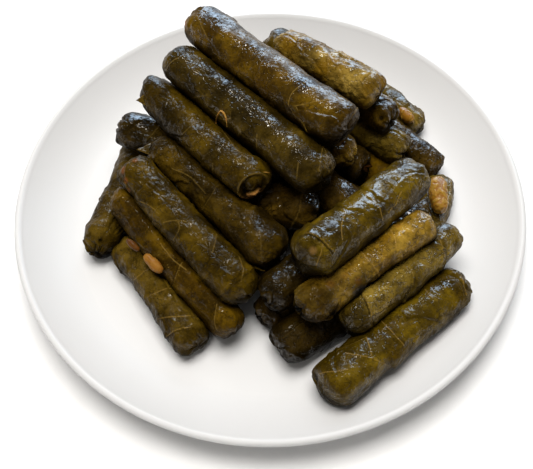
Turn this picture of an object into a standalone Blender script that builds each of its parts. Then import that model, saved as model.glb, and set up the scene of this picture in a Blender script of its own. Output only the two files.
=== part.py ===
"""A white plate with a heap of stuffed vine leaf rolls, each roll its own solid.

Lengths in this file are in millimetres and become metres when a mesh is made.
The plate stands on z = 0 with its centre over the origin, and +Z is up.
"""
import math
from dataclasses import dataclass

import bmesh
import bpy
import numpy as np
from mathutils import Vector
from mathutils.bvhtree import BVHTree

MM = 0.001

# The plate.
PLATE_RADIUS = 120.0
PLATE_HEIGHT = 21.0
WELL_RADIUS = 91.0
WELL_TOP = 5.0
FOOT_RADIUS = 65.0
FOOT_WIDTH = 6.0
FOOT_DEPTH = 1.2
WALL_THICKNESS = 3.8
WALL_CURVE = 1.7
LIP_RADIUS = 2.0
PLATE_SIDES = 54
WALL_STEPS = 6
FOOT_CHAMFER = 1.5
LIP_INNER = (0.9, 0.35)  # how far in and down the lip's inner edge lies
LIP_ANGLES = (-35, 0, 35, 70)
MERGE = 0.01             # points nearer than this are one point

# The rolls.
CAP_SHARE = 0.8          # length of a rounded end, as a share of its radius
SOFT_TOUCH = 0.93        # two axes come this close, as a share of both radii
GAP = 0.55               # clear space left between two rolls
PLATE_GAP = 0.35         # clear space left between a roll and the plate
BULGE = 0.030            # slow swelling of a roll, as a share of its radius
LEAF_STEP = 0.45         # height of the outer leaf's edge along the roll
SIDES = 16
BODY_RINGS = 5
END_TILTS = (66, 42, 20)   # leans of the rings on a rounded end, in degrees
FEW_TILTS = (62, 32)       # the same for a piece with few rings

# How the heap settles.
SETTLE_STEPS = 500
EARLY_SHARE = 0.7        # share of the steps that sink quickly
SINK_EARLY = 0.01        # mm per step
SINK_LATE = 0.003
HOMING = 0.04            # pull back to the place in the list, per step
PUSH_ROUNDS = 3
PUSH = 0.4               # share of an overlap that one push clears
REST_SHARE = 0.97        # height of a resting axis over the plate, as a share of its radius
LEAN_OUT = 0.35          # share of the radius at which the rising wall is felt

# How neighbours are kept apart.
NEAR = 25.0              # rolls further apart than this never touch
RAY_STEPS = 36
RAY_START = 0.30         # tests begin at this share of a ray
RAY_LEAST = 0.25         # and never leave it shorter than this
CLEARANCE = 0.14         # each solid is grown by this much in the last test
PULL = 0.12              # and pulled in by this much where two then meet
PULL_ROUNDS = 30
FIRST_SEED = 40

# Shape of an end: depth as a share of the radius, and how square its rim is.
END_DEPTH = {"f": CAP_SHARE, "o": 0.72, "p": 1.0, "b": CAP_SHARE}
END_SQUARE = {"f": 2.7, "o": 3.4, "p": 1.8, "b": 2.2}
TIP_DEPTH = {"f": CAP_SHARE * 0.98, "o": 0.50, "p": 1.12, "b": CAP_SHARE}

LEAF_DARK = (0.045, 0.040, 0.012)
LEAF_BROWN = (0.060, 0.045, 0.014)
LEAF_GREEN = (0.110, 0.100, 0.018)
LEAF_YELLOW = (0.160, 0.125, 0.026)
FILLING = (0.620, 0.300, 0.070)
PORCELAIN = (0.860, 0.860, 0.850)


@dataclass(frozen=True)
class Roll:
    """One roll: the middle of its axis, its direction, and its thickness at both ends."""

    name: str
    x: float
    y: float
    z: float
    heading: float          # degrees in plan, anticlockwise from +X
    length: float
    start: float            # diameter where the axis starts
    end: float              # diameter where the axis ends
    pitch: float = 0.0      # degrees, positive where the far end is higher
    bow: float = 0.0        # sideways bend at the middle
    ends: str = "ff"        # f folded, p pointed, o open
    colour: tuple = LEAF_DARK
    sides: int = SIDES
    rings: int = BODY_RINGS


ROLLS = (
    # The two largest lie on top, side by side.
    Roll("roll_top_back", 1.2, 38.6, 66.5, -45, 98, 20.5, 22.0, bow=0.8, colour=LEAF_GREEN),
    Roll("roll_top_front", -9, 21, 57.0, -47, 98, 21.0, 21.0, bow=-1.0, colour=LEAF_DARK),
    # The slope at the left, from the top down.
    Roll("roll_open_end", -31.9, 13.9, 47.2, -52.2, 81, 18.2, 20.0, bow=0.8, ends="po",
         colour=LEAF_GREEN),
    Roll("roll_slope_dark", -24, -11, 40.0, -46, 80, 17.5, 21.0, pitch=-4, bow=-1.0, ends="pf"),
    Roll("roll_slope_green", -36.8, -23.2, 31.3, -52, 83.5, 17.5, 21.0, pitch=-6, bow=1.0,
         colour=LEAF_GREEN),
    Roll("roll_slope_low", -43, -33, 24.0, -51, 86, 17.0, 17.5, pitch=-10, bow=1.2,
         colour=LEAF_GREEN),
    Roll("roll_left_low", -51.5, -41.7, 14.0, -58, 64, 17.5, 17.5, pitch=-2, bow=-0.8,
         colour=LEAF_GREEN),
    Roll("roll_left_cross", -67.3, 9.5, 14.6, 79, 68, 19.0, 18.6, bow=0.6, ends="pf",
         colour=LEAF_BROWN),
    Roll("roll_left_dark", -48, 28, 31.5, -21, 48, 18.0, 17.5),
    # The middle.
    Roll("roll_middle", 4, -10, 32.5, -17, 39, 17.5, 18.0, pitch=4, colour=LEAF_BROWN),
    # The stack at the right, from the top down.
    Roll("roll_right_top", 40, -28.4, 48.5, 41, 73.5, 23.5, 20.0, pitch=-4, bow=0.6,
         colour=LEAF_GREEN),
    Roll("roll_right_yellow", 39.5, -45, 34.5, 36, 72, 17.5, 14.5, pitch=-2, bow=-0.8,
         colour=LEAF_YELLOW),
    Roll("roll_right_low", 55.4, -45.7, 24.0, 43.5, 71, 16.0, 16.0, pitch=-5, bow=0.8,
         colour=LEAF_GREEN),
    Roll("roll_front", 53, -70.8, 15.6, 39, 84.5, 22.5, 18.0, bow=-0.8, colour=LEAF_GREEN),
    Roll("roll_front_short", 20.7, -63, 15.0, 32, 46, 20.0, 19.0),
    Roll("roll_front_pleated", 14, -43, 30.5, 39, 47, 18.5, 18.5),
    Roll("roll_front_under", 12, -45, 13.2, 38, 41, 16.0, 16.5, colour=LEAF_BROWN),
    # The ends that show at the back and the right.
    Roll("roll_back_upper", 29, 45.5, 57.0, -36, 56, 17.0, 18.0, bow=-0.6,
         colour=LEAF_YELLOW),
    Roll("roll_back_middle", 25.5, 70.5, 31.5, -39, 58, 15.5, 17.0, pitch=-3,
         colour=LEAF_BROWN),
    Roll("roll_back_low", 57.6, 62.6, 13.5, -48, 53.5, 17.0, 16.5, colour=LEAF_GREEN),
    Roll("roll_back_blunt", 39.5, 38, 41.0, -40, 45, 17.0, 16.0, ends="fo"),
    Roll("roll_back_glossy", 46, 33.5, 28.0, -41, 49, 17.5, 17.0),
    Roll("roll_back_right", 64.2, 36.0, 15, -47, 53, 18.0, 18.0, pitch=-2, colour=LEAF_BROWN),
    Roll("roll_under_top", 17.2, 20.7, 46.0, -35, 50, 17.0, 16.0, pitch=-3, ends="fp",
         colour=LEAF_YELLOW),
    Roll("roll_spiral_end", 29.4, 24.1, 27.5, -35, 42, 17.5, 16.5, pitch=4, ends="fo",
         colour=LEAF_BROWN),
    Roll("roll_torn", 73.5, -8.5, 13.5, 67, 47, 16.0, 14.5, ends="fp", colour=LEAF_BROWN),
    # Pieces of filling that show.
    Roll("filling_bean", -50, -34.4, 26.3, -52, 12, 4.6, 5.0, ends="bb", colour=FILLING,
         sides=10, rings=2),
    Roll("filling_scrap", -62, -27.5, 29.0, -47, 8.5, 3.4, 3.4, ends="bb", colour=FILLING,
         sides=8, rings=2),
    Roll("filling_torn", 79, -3, 23.0, -90, 19, 9.5, 8.0, ends="bb", colour=FILLING,
         sides=12, rings=3),
    Roll("filling_back", 69, 45, 23.0, -54, 10, 5.6, 5.6, ends="bb", colour=FILLING,
         sides=10, rings=2),
    # The rolls underneath, which carry the ones that show.
    Roll("roll_base_1", -19, 0, 14.5, -45, 70, 19.0, 19.0, sides=12, rings=3),
    Roll("roll_base_2", -21, 31, 14.5, -49, 77, 19.0, 19.0, sides=12, rings=3),
    Roll("roll_base_3", -14, 59, 14.5, -45, 74, 19.0, 19.0, sides=12, rings=3),
    Roll("roll_base_4", 31, -24, 14.5, -50, 66, 19.0, 19.0, sides=12, rings=3),
    Roll("roll_base_5", 33, 4, 14.5, -40, 76, 19.0, 19.0, sides=12, rings=3),
    Roll("roll_base_6", 37, 32, 14.5, -45, 70, 19.0, 19.0, sides=12, rings=3),
    Roll("roll_base_7", 20, 68, 14.5, -45, 40, 19.0, 19.0, sides=12, rings=3),
    Roll("roll_base_8", -35, -25.5, 13.0, -48, 54, 16.0, 16.0, sides=12, rings=3),
    Roll("roll_second_1", -21, -20, 21.5, -46, 66, 18.5, 18.5, pitch=-3, sides=12, rings=3),
    Roll("roll_second_2", -19, 28, 37.0, -48, 76, 18.0, 18.0, pitch=2, sides=12, rings=3),
    Roll("roll_second_3", -12, 45, 30.5, -49, 72, 19.0, 19.0, sides=12, rings=3),
    Roll("roll_second_4", 34, -11, 28.5, -46, 70, 19.0, 19.0, pitch=-4, sides=12, rings=3),
    Roll("roll_second_5", 7, 53, 32.0, -44, 70, 19.0, 19.0, pitch=5, sides=12, rings=3),
    Roll("roll_third_1", -6, 52, 46.0, -41, 64, 18.0, 18.0, sides=12, rings=3),
)


def clear_scene():
    """Removes whatever the start file holds."""
    for obj in list(bpy.data.objects):
        bpy.data.objects.remove(obj, do_unlink=True)


def make_material(name, colour, roughness, coat):
    """Gives a plain Principled material."""
    material = bpy.data.materials.new(name)
    material.use_nodes = True
    shader = material.node_tree.nodes["Principled BSDF"]
    shader.inputs["Base Color"].default_value = (*colour, 1.0)
    shader.inputs["Roughness"].default_value = roughness
    shader.inputs["Coat Weight"].default_value = coat
    return material


def add_object(name, points, faces, material):
    """Makes one smooth shaded mesh object from points in millimetres."""
    mesh = bpy.data.meshes.new(name)
    mesh.from_pydata([tuple(p) for p in np.asarray(points) * MM], [], faces)
    mesh.materials.append(material)
    mesh.polygons.foreach_set("use_smooth", [True] * len(mesh.polygons))
    mesh.update()
    obj = bpy.data.objects.new(name, mesh)
    bpy.context.collection.objects.link(obj)
    return obj


def wall_height(radius):
    """Height of the plate's upper face at a radius."""
    share = np.clip((radius - WELL_RADIUS) / (PLATE_RADIUS - LIP_RADIUS - WELL_RADIUS), 0, 1)
    return WELL_TOP + (PLATE_HEIGHT - WELL_TOP) * share ** WALL_CURVE


def plate_profile():
    """Radius and height of the plate's section, from the axis below to the axis above."""
    inner = FOOT_RADIUS - FOOT_WIDTH
    points = [(0.0, FOOT_DEPTH), (inner - FOOT_CHAMFER, FOOT_DEPTH), (inner, 0.0)]
    points += [(FOOT_RADIUS, 0.0), (FOOT_RADIUS + FOOT_CHAMFER, FOOT_DEPTH)]
    points.append((WELL_RADIUS, WELL_TOP - WALL_THICKNESS))
    lip = PLATE_RADIUS - LIP_RADIUS
    upper = []
    for step in range(WALL_STEPS + 1):
        radius = WELL_RADIUS + (lip - WELL_RADIUS) * step / WALL_STEPS
        upper.append((radius, float(wall_height(radius))))
    for step in range(1, WALL_STEPS):
        radius, height = upper[step]
        before = upper[step - 1]
        after = upper[step + 1]
        run = math.hypot(after[0] - before[0], after[1] - before[1])
        points.append((radius + (after[1] - before[1]) / run * WALL_THICKNESS,
                       height - (after[0] - before[0]) / run * WALL_THICKNESS))
    for angle in LIP_ANGLES:
        turn = math.radians(angle)
        points.append((lip + LIP_RADIUS * math.cos(turn),
                       PLATE_HEIGHT - LIP_RADIUS + LIP_RADIUS * math.sin(turn)))
    points.append((lip - LIP_INNER[0], PLATE_HEIGHT - LIP_INNER[1]))
    points += reversed(upper[:-1])
    points.append((0.0, WELL_TOP))
    return points


def build_plate():
    """Spins the section round the axis."""
    mesh = bpy.data.meshes.new("plate")
    work = bmesh.new()
    section = [work.verts.new((radius * MM, 0.0, height * MM))
               for radius, height in plate_profile()]
    edges = [work.edges.new(pair) for pair in zip(section, section[1:])]
    bmesh.ops.spin(work, geom=section + edges, cent=(0, 0, 0), axis=(0, 0, 1),
                   angle=2 * math.pi, steps=PLATE_SIDES, use_merge=True)
    bmesh.ops.remove_doubles(work, verts=work.verts, dist=MERGE * MM)
    bmesh.ops.recalc_face_normals(work, faces=work.faces)
    work.to_mesh(mesh)
    work.free()
    mesh.materials.append(make_material("porcelain", PORCELAIN, 0.12, 0.6))
    mesh.polygons.foreach_set("use_smooth", [True] * len(mesh.polygons))
    obj = bpy.data.objects.new("plate", mesh)
    bpy.context.collection.objects.link(obj)
    return obj


def axis_ends(roll):
    """Both ends of the straight middle line, where the rounded ends begin."""
    turn = math.radians(roll.heading)
    lift = math.radians(roll.pitch)
    along = np.array([math.cos(turn) * math.cos(lift), math.sin(turn) * math.cos(lift),
                      math.sin(lift)])
    middle = np.array([roll.x, roll.y, roll.z], float)
    first = middle - along * (roll.length / 2 - CAP_SHARE * roll.start / 2)
    last = middle + along * (roll.length / 2 - CAP_SHARE * roll.end / 2)
    return first, last


def nearest_shares(first_a, last_a, first_b, last_b):
    """Where two straight lines come closest, as shares of their lengths."""
    way_a = last_a - first_a
    way_b = last_b - first_b
    apart = first_a - first_b
    aa = (way_a * way_a).sum(-1)
    bb = (way_b * way_b).sum(-1)
    ab = (way_a * way_b).sum(-1)
    ca = (way_a * apart).sum(-1)
    cb = (way_b * apart).sum(-1)
    base = aa * bb - ab * ab
    share_a = np.where(base > 1e-9 * aa * bb,
                       np.clip((ab * cb - ca * bb) / np.maximum(base, 1e-12), 0, 1), 0.5)
    share_b = np.clip((ab * share_a + cb) / bb, 0, 1)
    share_a = np.clip((ab * share_b - ca) / aa, 0, 1)
    share_b = np.clip((ab * share_a + cb) / bb, 0, 1)
    return share_a, share_b


def settle(rolls):
    """Pushes rolls apart until each touches its neighbours, and lets them sink a little."""
    ends = [axis_ends(roll) for roll in rolls]
    first = np.array([pair[0] for pair in ends])
    last = np.array([pair[1] for pair in ends])
    start = np.array([roll.start / 2 for roll in rolls])
    end = np.array([roll.end / 2 for roll in rolls])
    length = np.linalg.norm(last - first, axis=1)
    home_first = first.copy()
    home_last = last.copy()
    one, two = np.triu_indices(len(rolls), 1)
    for step in range(SETTLE_STEPS):
        sink = SINK_EARLY if step < SETTLE_STEPS * EARLY_SHARE else SINK_LATE
        first[:, 2] -= sink
        last[:, 2] -= sink
        first += HOMING * (home_first - first)
        last += HOMING * (home_last - last)
        for _ in range(PUSH_ROUNDS):
            share_a, share_b = nearest_shares(first[one], last[one], first[two], last[two])
            point_a = first[one] + (last[one] - first[one]) * share_a[:, None]
            point_b = first[two] + (last[two] - first[two]) * share_b[:, None]
            apart = point_a - point_b
            distance = np.linalg.norm(apart, axis=1)
            reach = start[one] + (end[one] - start[one]) * share_a
            reach = reach + start[two] + (end[two] - start[two]) * share_b
            close = np.nonzero(distance < SOFT_TOUCH * reach)[0]
            push = (SOFT_TOUCH * reach - distance)[close][:, None] * PUSH
            push = push * apart[close] / np.maximum(distance[close], 1e-6)[:, None]
            part_a = share_a[close][:, None]
            part_b = share_b[close][:, None]
            np.add.at(first, one[close], push * (1 - part_a))
            np.add.at(last, one[close], push * part_a)
            np.add.at(first, two[close], -push * (1 - part_b))
            np.add.at(last, two[close], -push * part_b)
            for tips, radii in ((first, start), (last, end)):
                floor = wall_height(np.hypot(tips[:, 0], tips[:, 1]) + LEAN_OUT * radii)
                tips[:, 2] = np.maximum(tips[:, 2], floor + REST_SHARE * radii)
            middle = (first + last) / 2
            way = last - first
            way *= (length / np.linalg.norm(way, axis=1))[:, None]
            first = middle - way / 2
            last = middle + way / 2
    return first, last


class Shape:
    """A settled roll: its bent middle line, its thickness and its surface rays."""

    def __init__(self, roll, first, last, seed):
        self.roll = roll
        self.random = np.random.default_rng(seed)
        self.first = first
        self.along = (last - first) / np.linalg.norm(last - first)
        self.length = float(np.linalg.norm(last - first))
        side = np.cross(self.along, (0.0, 0.0, 1.0))
        self.side = side / np.linalg.norm(side)
        self.up = np.cross(self.side, self.along)
        self.line = self.spine(np.linspace(0, 1, 13))
        self.phase = self.random.uniform(0, 2 * math.pi, 4)
        self.turned = self.random.uniform(-0.6, 0.6)

    def spine(self, share):
        """Points of the bent middle line."""
        share = np.asarray(share, float)
        bend = self.roll.bow * (1 - (2 * np.clip(share, 0, 1) - 1) ** 2)
        return (self.first + np.outer(share * self.length, self.along)
                + np.outer(bend, self.side))

    def radius(self, share):
        """Plain radius along the roll."""
        share = np.clip(share, 0, 1)
        return (self.roll.start + (self.roll.end - self.roll.start) * share) / 2

    def outside(self, points):
        """Distance of points beyond the plain round surface, negative inside."""
        tail = self.line[:-1]
        way = self.line[1:] - tail
        apart = points[:, None, :] - tail[None]
        share = np.clip((apart * way).sum(-1) / (way * way).sum(-1), 0, 1)
        distance = np.linalg.norm(apart - share[..., None] * way, axis=2)
        best = distance.argmin(1)
        rows = np.arange(len(points))
        place = (best + share[rows, best]) / len(tail)
        return distance[rows, best] - self.radius(place)

    def leaf_edge(self, share, angle):
        """Height of the wrapped leaf above the roll, with one step where its edge lies."""
        turn = np.mod(angle - self.phase[3] - self.turned * share, 2 * math.pi)
        return LEAF_STEP * turn / (2 * math.pi)

    def rays(self):
        """Start points, directions and lengths of the surface rays, ring by ring."""
        roll = self.roll
        angles = 2 * math.pi * np.arange(roll.sides) / roll.sides
        tilts = FEW_TILTS if roll.rings < BODY_RINGS else END_TILTS
        rings = [(0.0, -tilt) for tilt in tilts]
        rings += [(share, 0.0) for share in np.linspace(0, 1, roll.rings)]
        rings += [(1.0, tilt) for tilt in reversed(tilts)]
        centres, ways, reaches = [], [], []
        for share, tilt in rings:
            centre = self.spine([share])[0]
            kind = roll.ends[0 if share < 0.5 else 1]
            round_way = np.outer(np.cos(angles), self.side) + np.outer(np.sin(angles), self.up)
            lean = math.radians(tilt)
            way = math.cos(lean) * round_way + math.sin(lean) * self.along
            radius = float(self.radius(share))
            swell = 1 + BULGE * (np.sin(2 * angles + self.phase[0] + 2 * share)
                                 + 0.6 * np.sin(3 * angles + self.phase[1] + 5 * share))
            swell = swell + 0.02 * math.sin(7 * share + self.phase[2])
            reach = radius * swell * self.cap(kind, abs(lean), angles)
            if kind != "b":
                reach = reach + math.cos(lean) * (self.leaf_edge(share, angles) - LEAF_STEP / 2)
            centres.append(np.repeat(centre[None], roll.sides, 0))
            ways.append(way)
            reaches.append(reach)
        return centres, ways, reaches

    def cap(self, kind, lean, angles):
        """Share of the radius at which the end's surface lies, seen from its centre."""
        if lean == 0.0:
            return np.ones_like(angles)
        power = END_SQUARE[kind]
        deep = math.sin(lean) / END_DEPTH[kind]
        flat = (math.cos(lean) ** power + deep ** power) ** (-1 / power)
        fold = 0.05 * math.sin(lean) if kind in "fp" else 0.0
        return flat * (1 + fold * np.cos(3 * angles + self.phase[1]))

    def pole(self, last):
        """The tip of one end, sunk a little where the end is open."""
        kind = self.roll.ends[1 if last else 0]
        radius = (self.roll.end if last else self.roll.start) / 2
        centre = self.spine([1.0 if last else 0.0])[0]
        return centre, (self.along if last else -self.along), TIP_DEPTH[kind] * radius


def trim_reaches(shape, others, centres, ways, reaches):
    """Shortens rays that would enter a neighbour or the plate."""
    steps = np.linspace(RAY_START, 1.0, RAY_STEPS)
    reach = np.asarray(reaches, float)
    points = centres[:, None] + ways[:, None] * (reach[:, None] * steps)[..., None]
    flat = points.reshape(-1, 3)
    own = shape.outside(flat)
    bad = np.zeros(len(flat), bool)
    for other in others:
        bad |= own - other.outside(flat) > -GAP
    bad |= flat[:, 2] < wall_height(np.hypot(flat[:, 0], flat[:, 1])) + PLATE_GAP
    bad = bad.reshape(points.shape[:2])
    first_bad = np.where(bad.any(1), bad.argmax(1), len(steps))
    kept = steps[np.clip(first_bad - 1, 0, len(steps) - 1)]
    kept = np.where(first_bad == 0, RAY_LEAST, kept)
    return reach * kept


def roll_mesh(shape, others):
    """Points and faces of one roll."""
    centres, ways, reaches = shape.rays()
    sides = shape.roll.sides
    points = []
    roots = []
    for centre, way, reach in zip(centres, ways, reaches):
        length = trim_reaches(shape, others, centre, way, reach)
        points.append(centre + way * length[:, None])
        roots.append(centre)
    for last in (False, True):
        centre, way, depth = shape.pole(last)
        length = trim_reaches(shape, others, centre[None], way[None], np.array([depth]))
        points.append(centre[None] + way[None] * length[:, None])
        roots.append(centre[None])
    vertices = np.vstack(points)
    roots = np.vstack(roots)
    count = len(centres)
    faces = []
    for ring in range(count - 1):
        for side in range(sides):
            nxt = (side + 1) % sides
            low = ring * sides
            high = low + sides
            faces.append((low + side, high + side, high + nxt))
            faces.append((low + side, high + nxt, low + nxt))
    tail = count * sides
    for side in range(sides):
        nxt = (side + 1) % sides
        faces.append((tail, side, nxt))
        high = (count - 1) * sides
        faces.append((tail + 1, high + nxt, high + side))
    return vertices, roots, faces


def swollen(vertices, roots, amount):
    """The same points moved outwards a little, for the clearance test."""
    way = vertices - roots
    size = np.maximum(np.linalg.norm(way, axis=1), 1e-6)[:, None]
    return vertices + way / size * amount


def part_solids(meshes, plate_tree):
    """Pulls points inwards wherever two solids come too near each other."""
    for _ in range(PULL_ROUNDS):
        trees = []
        boxes = []
        for vertices, roots, faces in meshes:
            grown = swollen(vertices, roots, CLEARANCE)
            boxes.append((grown.min(0), grown.max(0)))
            trees.append(BVHTree.FromPolygons([Vector(p) for p in grown], faces))
        pull = [set() for _ in meshes]
        for one in range(len(meshes)):
            for other in range(one + 1, len(meshes)):
                if (boxes[one][0] > boxes[other][1]).any():
                    continue
                if (boxes[other][0] > boxes[one][1]).any():
                    continue
                for face_a, face_b in trees[one].overlap(trees[other]):
                    pull[one].update(meshes[one][2][face_a])
                    pull[other].update(meshes[other][2][face_b])
            for face, _ in trees[one].overlap(plate_tree):
                pull[one].update(meshes[one][2][face])
        if not any(pull):
            return
        for (vertices, roots, _), moved in zip(meshes, pull):
            rows = np.array(sorted(moved), int)
            if len(rows):
                way = roots[rows] - vertices[rows]
                size = np.linalg.norm(way, axis=1)[:, None]
                vertices[rows] += way / size * np.minimum(PULL, size * RAY_LEAST)


def main():
    """Builds the plate, the rolls and the pieces of filling."""
    clear_scene()
    plate = build_plate()
    first, last = settle(ROLLS)
    shapes = [Shape(roll, first[k], last[k], FIRST_SEED + k) for k, roll in enumerate(ROLLS)]
    meshes = []
    for shape in shapes:
        near = [other for other in shapes if other is not shape
                and (shape.line.min(0) - NEAR < other.line.max(0)).all()
                and (shape.line.max(0) + NEAR > other.line.min(0)).all()]
        meshes.append(list(roll_mesh(shape, near)))
    tree = BVHTree.FromPolygons([v.co / MM for v in plate.data.vertices],
                                [tuple(p.vertices) for p in plate.data.polygons])
    part_solids(meshes, tree)
    for shape, (vertices, _, faces) in zip(shapes, meshes):
        roll = shape.roll
        rough = 0.45 if roll.colour == FILLING else 0.36
        material = make_material(roll.name + "_skin", roll.colour, rough, 0.25)
        add_object(roll.name, vertices, faces, material)


main()
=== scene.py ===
"""A white plate heaped with stuffed vine leaves, dressed for a photograph.

Lengths are in millimetres until a mesh is made, and then in metres. The plate
stands on z = 0 with its centre over the origin, and the viewer is on the -Y side.
"""
from __future__ import annotations

import functools
import itertools
import logging
import math
from dataclasses import dataclass, replace
from enum import Enum

import bpy
import numpy as np
from mathutils import Matrix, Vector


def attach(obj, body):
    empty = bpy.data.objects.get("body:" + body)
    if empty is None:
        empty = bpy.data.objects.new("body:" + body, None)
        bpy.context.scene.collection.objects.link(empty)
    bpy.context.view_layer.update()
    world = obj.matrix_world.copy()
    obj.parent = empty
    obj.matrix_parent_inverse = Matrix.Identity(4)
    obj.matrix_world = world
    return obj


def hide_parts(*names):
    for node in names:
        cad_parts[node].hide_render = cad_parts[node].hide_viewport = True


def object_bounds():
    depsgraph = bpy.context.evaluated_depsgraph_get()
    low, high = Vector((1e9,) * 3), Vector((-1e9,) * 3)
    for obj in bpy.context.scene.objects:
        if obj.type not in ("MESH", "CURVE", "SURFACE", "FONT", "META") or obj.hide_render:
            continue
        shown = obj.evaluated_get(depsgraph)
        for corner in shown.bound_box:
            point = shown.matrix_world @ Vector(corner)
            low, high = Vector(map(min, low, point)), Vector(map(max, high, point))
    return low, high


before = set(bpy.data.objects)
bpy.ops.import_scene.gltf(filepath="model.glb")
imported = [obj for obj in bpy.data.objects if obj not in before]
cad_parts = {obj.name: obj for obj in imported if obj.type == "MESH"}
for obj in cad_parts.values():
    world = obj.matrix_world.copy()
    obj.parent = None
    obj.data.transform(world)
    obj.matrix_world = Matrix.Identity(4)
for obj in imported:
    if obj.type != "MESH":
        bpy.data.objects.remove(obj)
CAD_BOX = [list(corner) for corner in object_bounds()]

LOG = logging.getLogger("stuffed_leaves")
MM = 0.001
Array = np.ndarray
Colour = tuple[float, float, float]
Pixel = tuple[float, float]
Span = tuple[float, float]
Object = bpy.types.Object
Socket = bpy.types.NodeSocket
Material = bpy.types.Material

# Numbers of the hashing in noise(): one per axis, one for the seed, and shifts with factors.
AXIS_PRIMES = np.array((73856093, 19349663, 83492791))
SEED_PRIME = 2654435
SEED_SHIFT = 7.31
BIT_MIXES = ((15, 2246822519), (13, 3266489917))
WORD = 0xFFFFFFFF
HALF_WORD = 0xFFFF

RAYS_AT_ONCE = 600
POINTS_AT_ONCE = 8000
TINY = 1e-12
EDGE_SLACK = 1e-4


# Shared mathematics.

def smooth(value: Array, low: float, high: float) -> Array:
    """Eases from 0 at low to 1 at high: 3t^2 - 2t^3 of the clamped share t.

    Args:
        value: Numbers to ease.
        low: Where the result is 0.
        high: Where the result is 1.

    Returns:
        Numbers from 0 to 1.
    """
    share = np.clip((value - low) / (high - low), 0.0, 1.0)
    return share * share * (3.0 - 2.0 * share)


def unit(vectors: Array) -> Array:
    """Vectors divided by their lengths."""
    return vectors / np.maximum(np.linalg.norm(vectors, axis=-1, keepdims=True), TINY)


def full_turn(count: int) -> Array:
    """Angles of equal steps round a full turn, from 0."""
    return np.arange(count) * 2 * math.pi / count


def spokes(turns: Array, side: Array, up: Array) -> Array:
    """Ways that point out from a line, turned from its side way towards its up way."""
    return np.cos(turns)[:, None] * side + np.sin(turns)[:, None] * up


def noise(points: Array, cell: float, seed: int) -> Array:
    """Smooth noise: random values at the corners of a cube grid, blended by eased shares.

    A corner's value is a hash of its three whole numbers and the seed.

    Args:
        points: Places, shape (..., 3).
        cell: Edge of one cube.
        seed: Picks the random values.

    Returns:
        Numbers from -1 to 1, shape (...).
    """
    place = points / cell + SEED_SHIFT * seed
    corner = np.floor(place)
    share = place - corner
    share = share * share * (3.0 - 2.0 * share)
    corner = corner.astype(np.int64)
    total = np.zeros(points.shape[:-1])
    for step in itertools.product((0, 1), repeat=3):
        grid = (corner + np.array(step)) * AXIS_PRIMES
        code = (grid[..., 0] ^ grid[..., 1] ^ grid[..., 2] ^ (seed * SEED_PRIME)) & WORD
        for shift, factor in BIT_MIXES:
            code = ((code ^ (code >> shift)) * factor) & WORD
        value = 2.0 * ((code >> 8) & HALF_WORD) / HALF_WORD - 1.0
        weight = np.prod(np.where(np.array(step) == 1, share, 1.0 - share), axis=-1)
        total += weight * value
    return total


def ray_lengths(origins: Array, ways: Array, corners: Array) -> Array:
    """Distance along each ray to the last triangle it crosses, by the Moeller-Trumbore rule.

    Args:
        origins: Start points, shape (n, 3).
        ways: Unit directions, shape (n, 3).
        corners: Triangle corners, shape (m, 3, 3).

    Returns:
        Distances, shape (n,), 0 where nothing is crossed.
    """
    edge_a = corners[:, 1] - corners[:, 0]
    edge_b = corners[:, 2] - corners[:, 0]
    found = []
    for part in range(0, len(origins), RAYS_AT_ONCE):
        start = origins[part:part + RAYS_AT_ONCE, None]
        way = ways[part:part + RAYS_AT_ONCE, None]
        across = np.cross(way, edge_b[None])
        volume = (edge_a * across).sum(-1)
        volume = np.where(np.abs(volume) < TINY, TINY, volume)
        apart = start - corners[None, :, 0]
        share_a = (apart * across).sum(-1) / volume
        turned = np.cross(apart, edge_a[None])
        share_b = (way * turned).sum(-1) / volume
        reach = (edge_b * turned).sum(-1) / volume
        inside = (share_a > -EDGE_SLACK) & (share_b > -EDGE_SLACK)
        inside &= share_a + share_b < 1 + 2 * EDGE_SLACK
        found.append(np.where(inside & (reach > 0), reach, 0.0).max(1))
    return np.concatenate(found)


def nearest_on_lines(points: Array, starts: Array, ends: Array) -> tuple[Array, Array, Array]:
    """Finds for each point the nearest of many short straight pieces.

    Args:
        points: Places, shape (n, 3).
        starts: First ends of the pieces, shape (m, 3).
        ends: Last ends of the pieces, shape (m, 3).

    Returns:
        The distance, the number of the nearest piece, and the share along it.
    """
    way = ends - starts
    size = np.maximum((way * way).sum(1), 1e-9)
    along = points @ way.T - (starts * way).sum(1)
    share = np.clip(along / size, 0.0, 1.0)
    square = (points * points).sum(1)[:, None] - 2.0 * points @ starts.T + (starts * starts).sum(1)
    square = square - 2.0 * share * along + share * share * size
    best = square.argmin(1)
    rows = np.arange(len(points))
    return np.sqrt(np.maximum(square[rows, best], 0.0)), best, share[rows, best]


def softened(line: Array, reach: float) -> Array:
    """A line with its corners rounded: each point becomes a bell-weighted mean of those near it.

    Beyond each end the line is continued by its own half turn, so the ends stay in place.

    Args:
        line: Points in order, shape (n, any).
        reach: Width of the bell in steps of the line.

    Returns:
        As many points.
    """
    spare = min(int(3 * reach) + 1, len(line) - 1)
    longer = np.concatenate([2 * line[0] - line[spare:0:-1], line,
                             2 * line[-1] - line[-2:-spare - 2:-1]])
    index = np.arange(len(longer))
    weight = np.exp(-((index[spare:spare + len(line), None] - index) / reach) ** 2 / 2)
    return (weight / weight.sum(1, keepdims=True)) @ longer


# Meshes.

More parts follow.
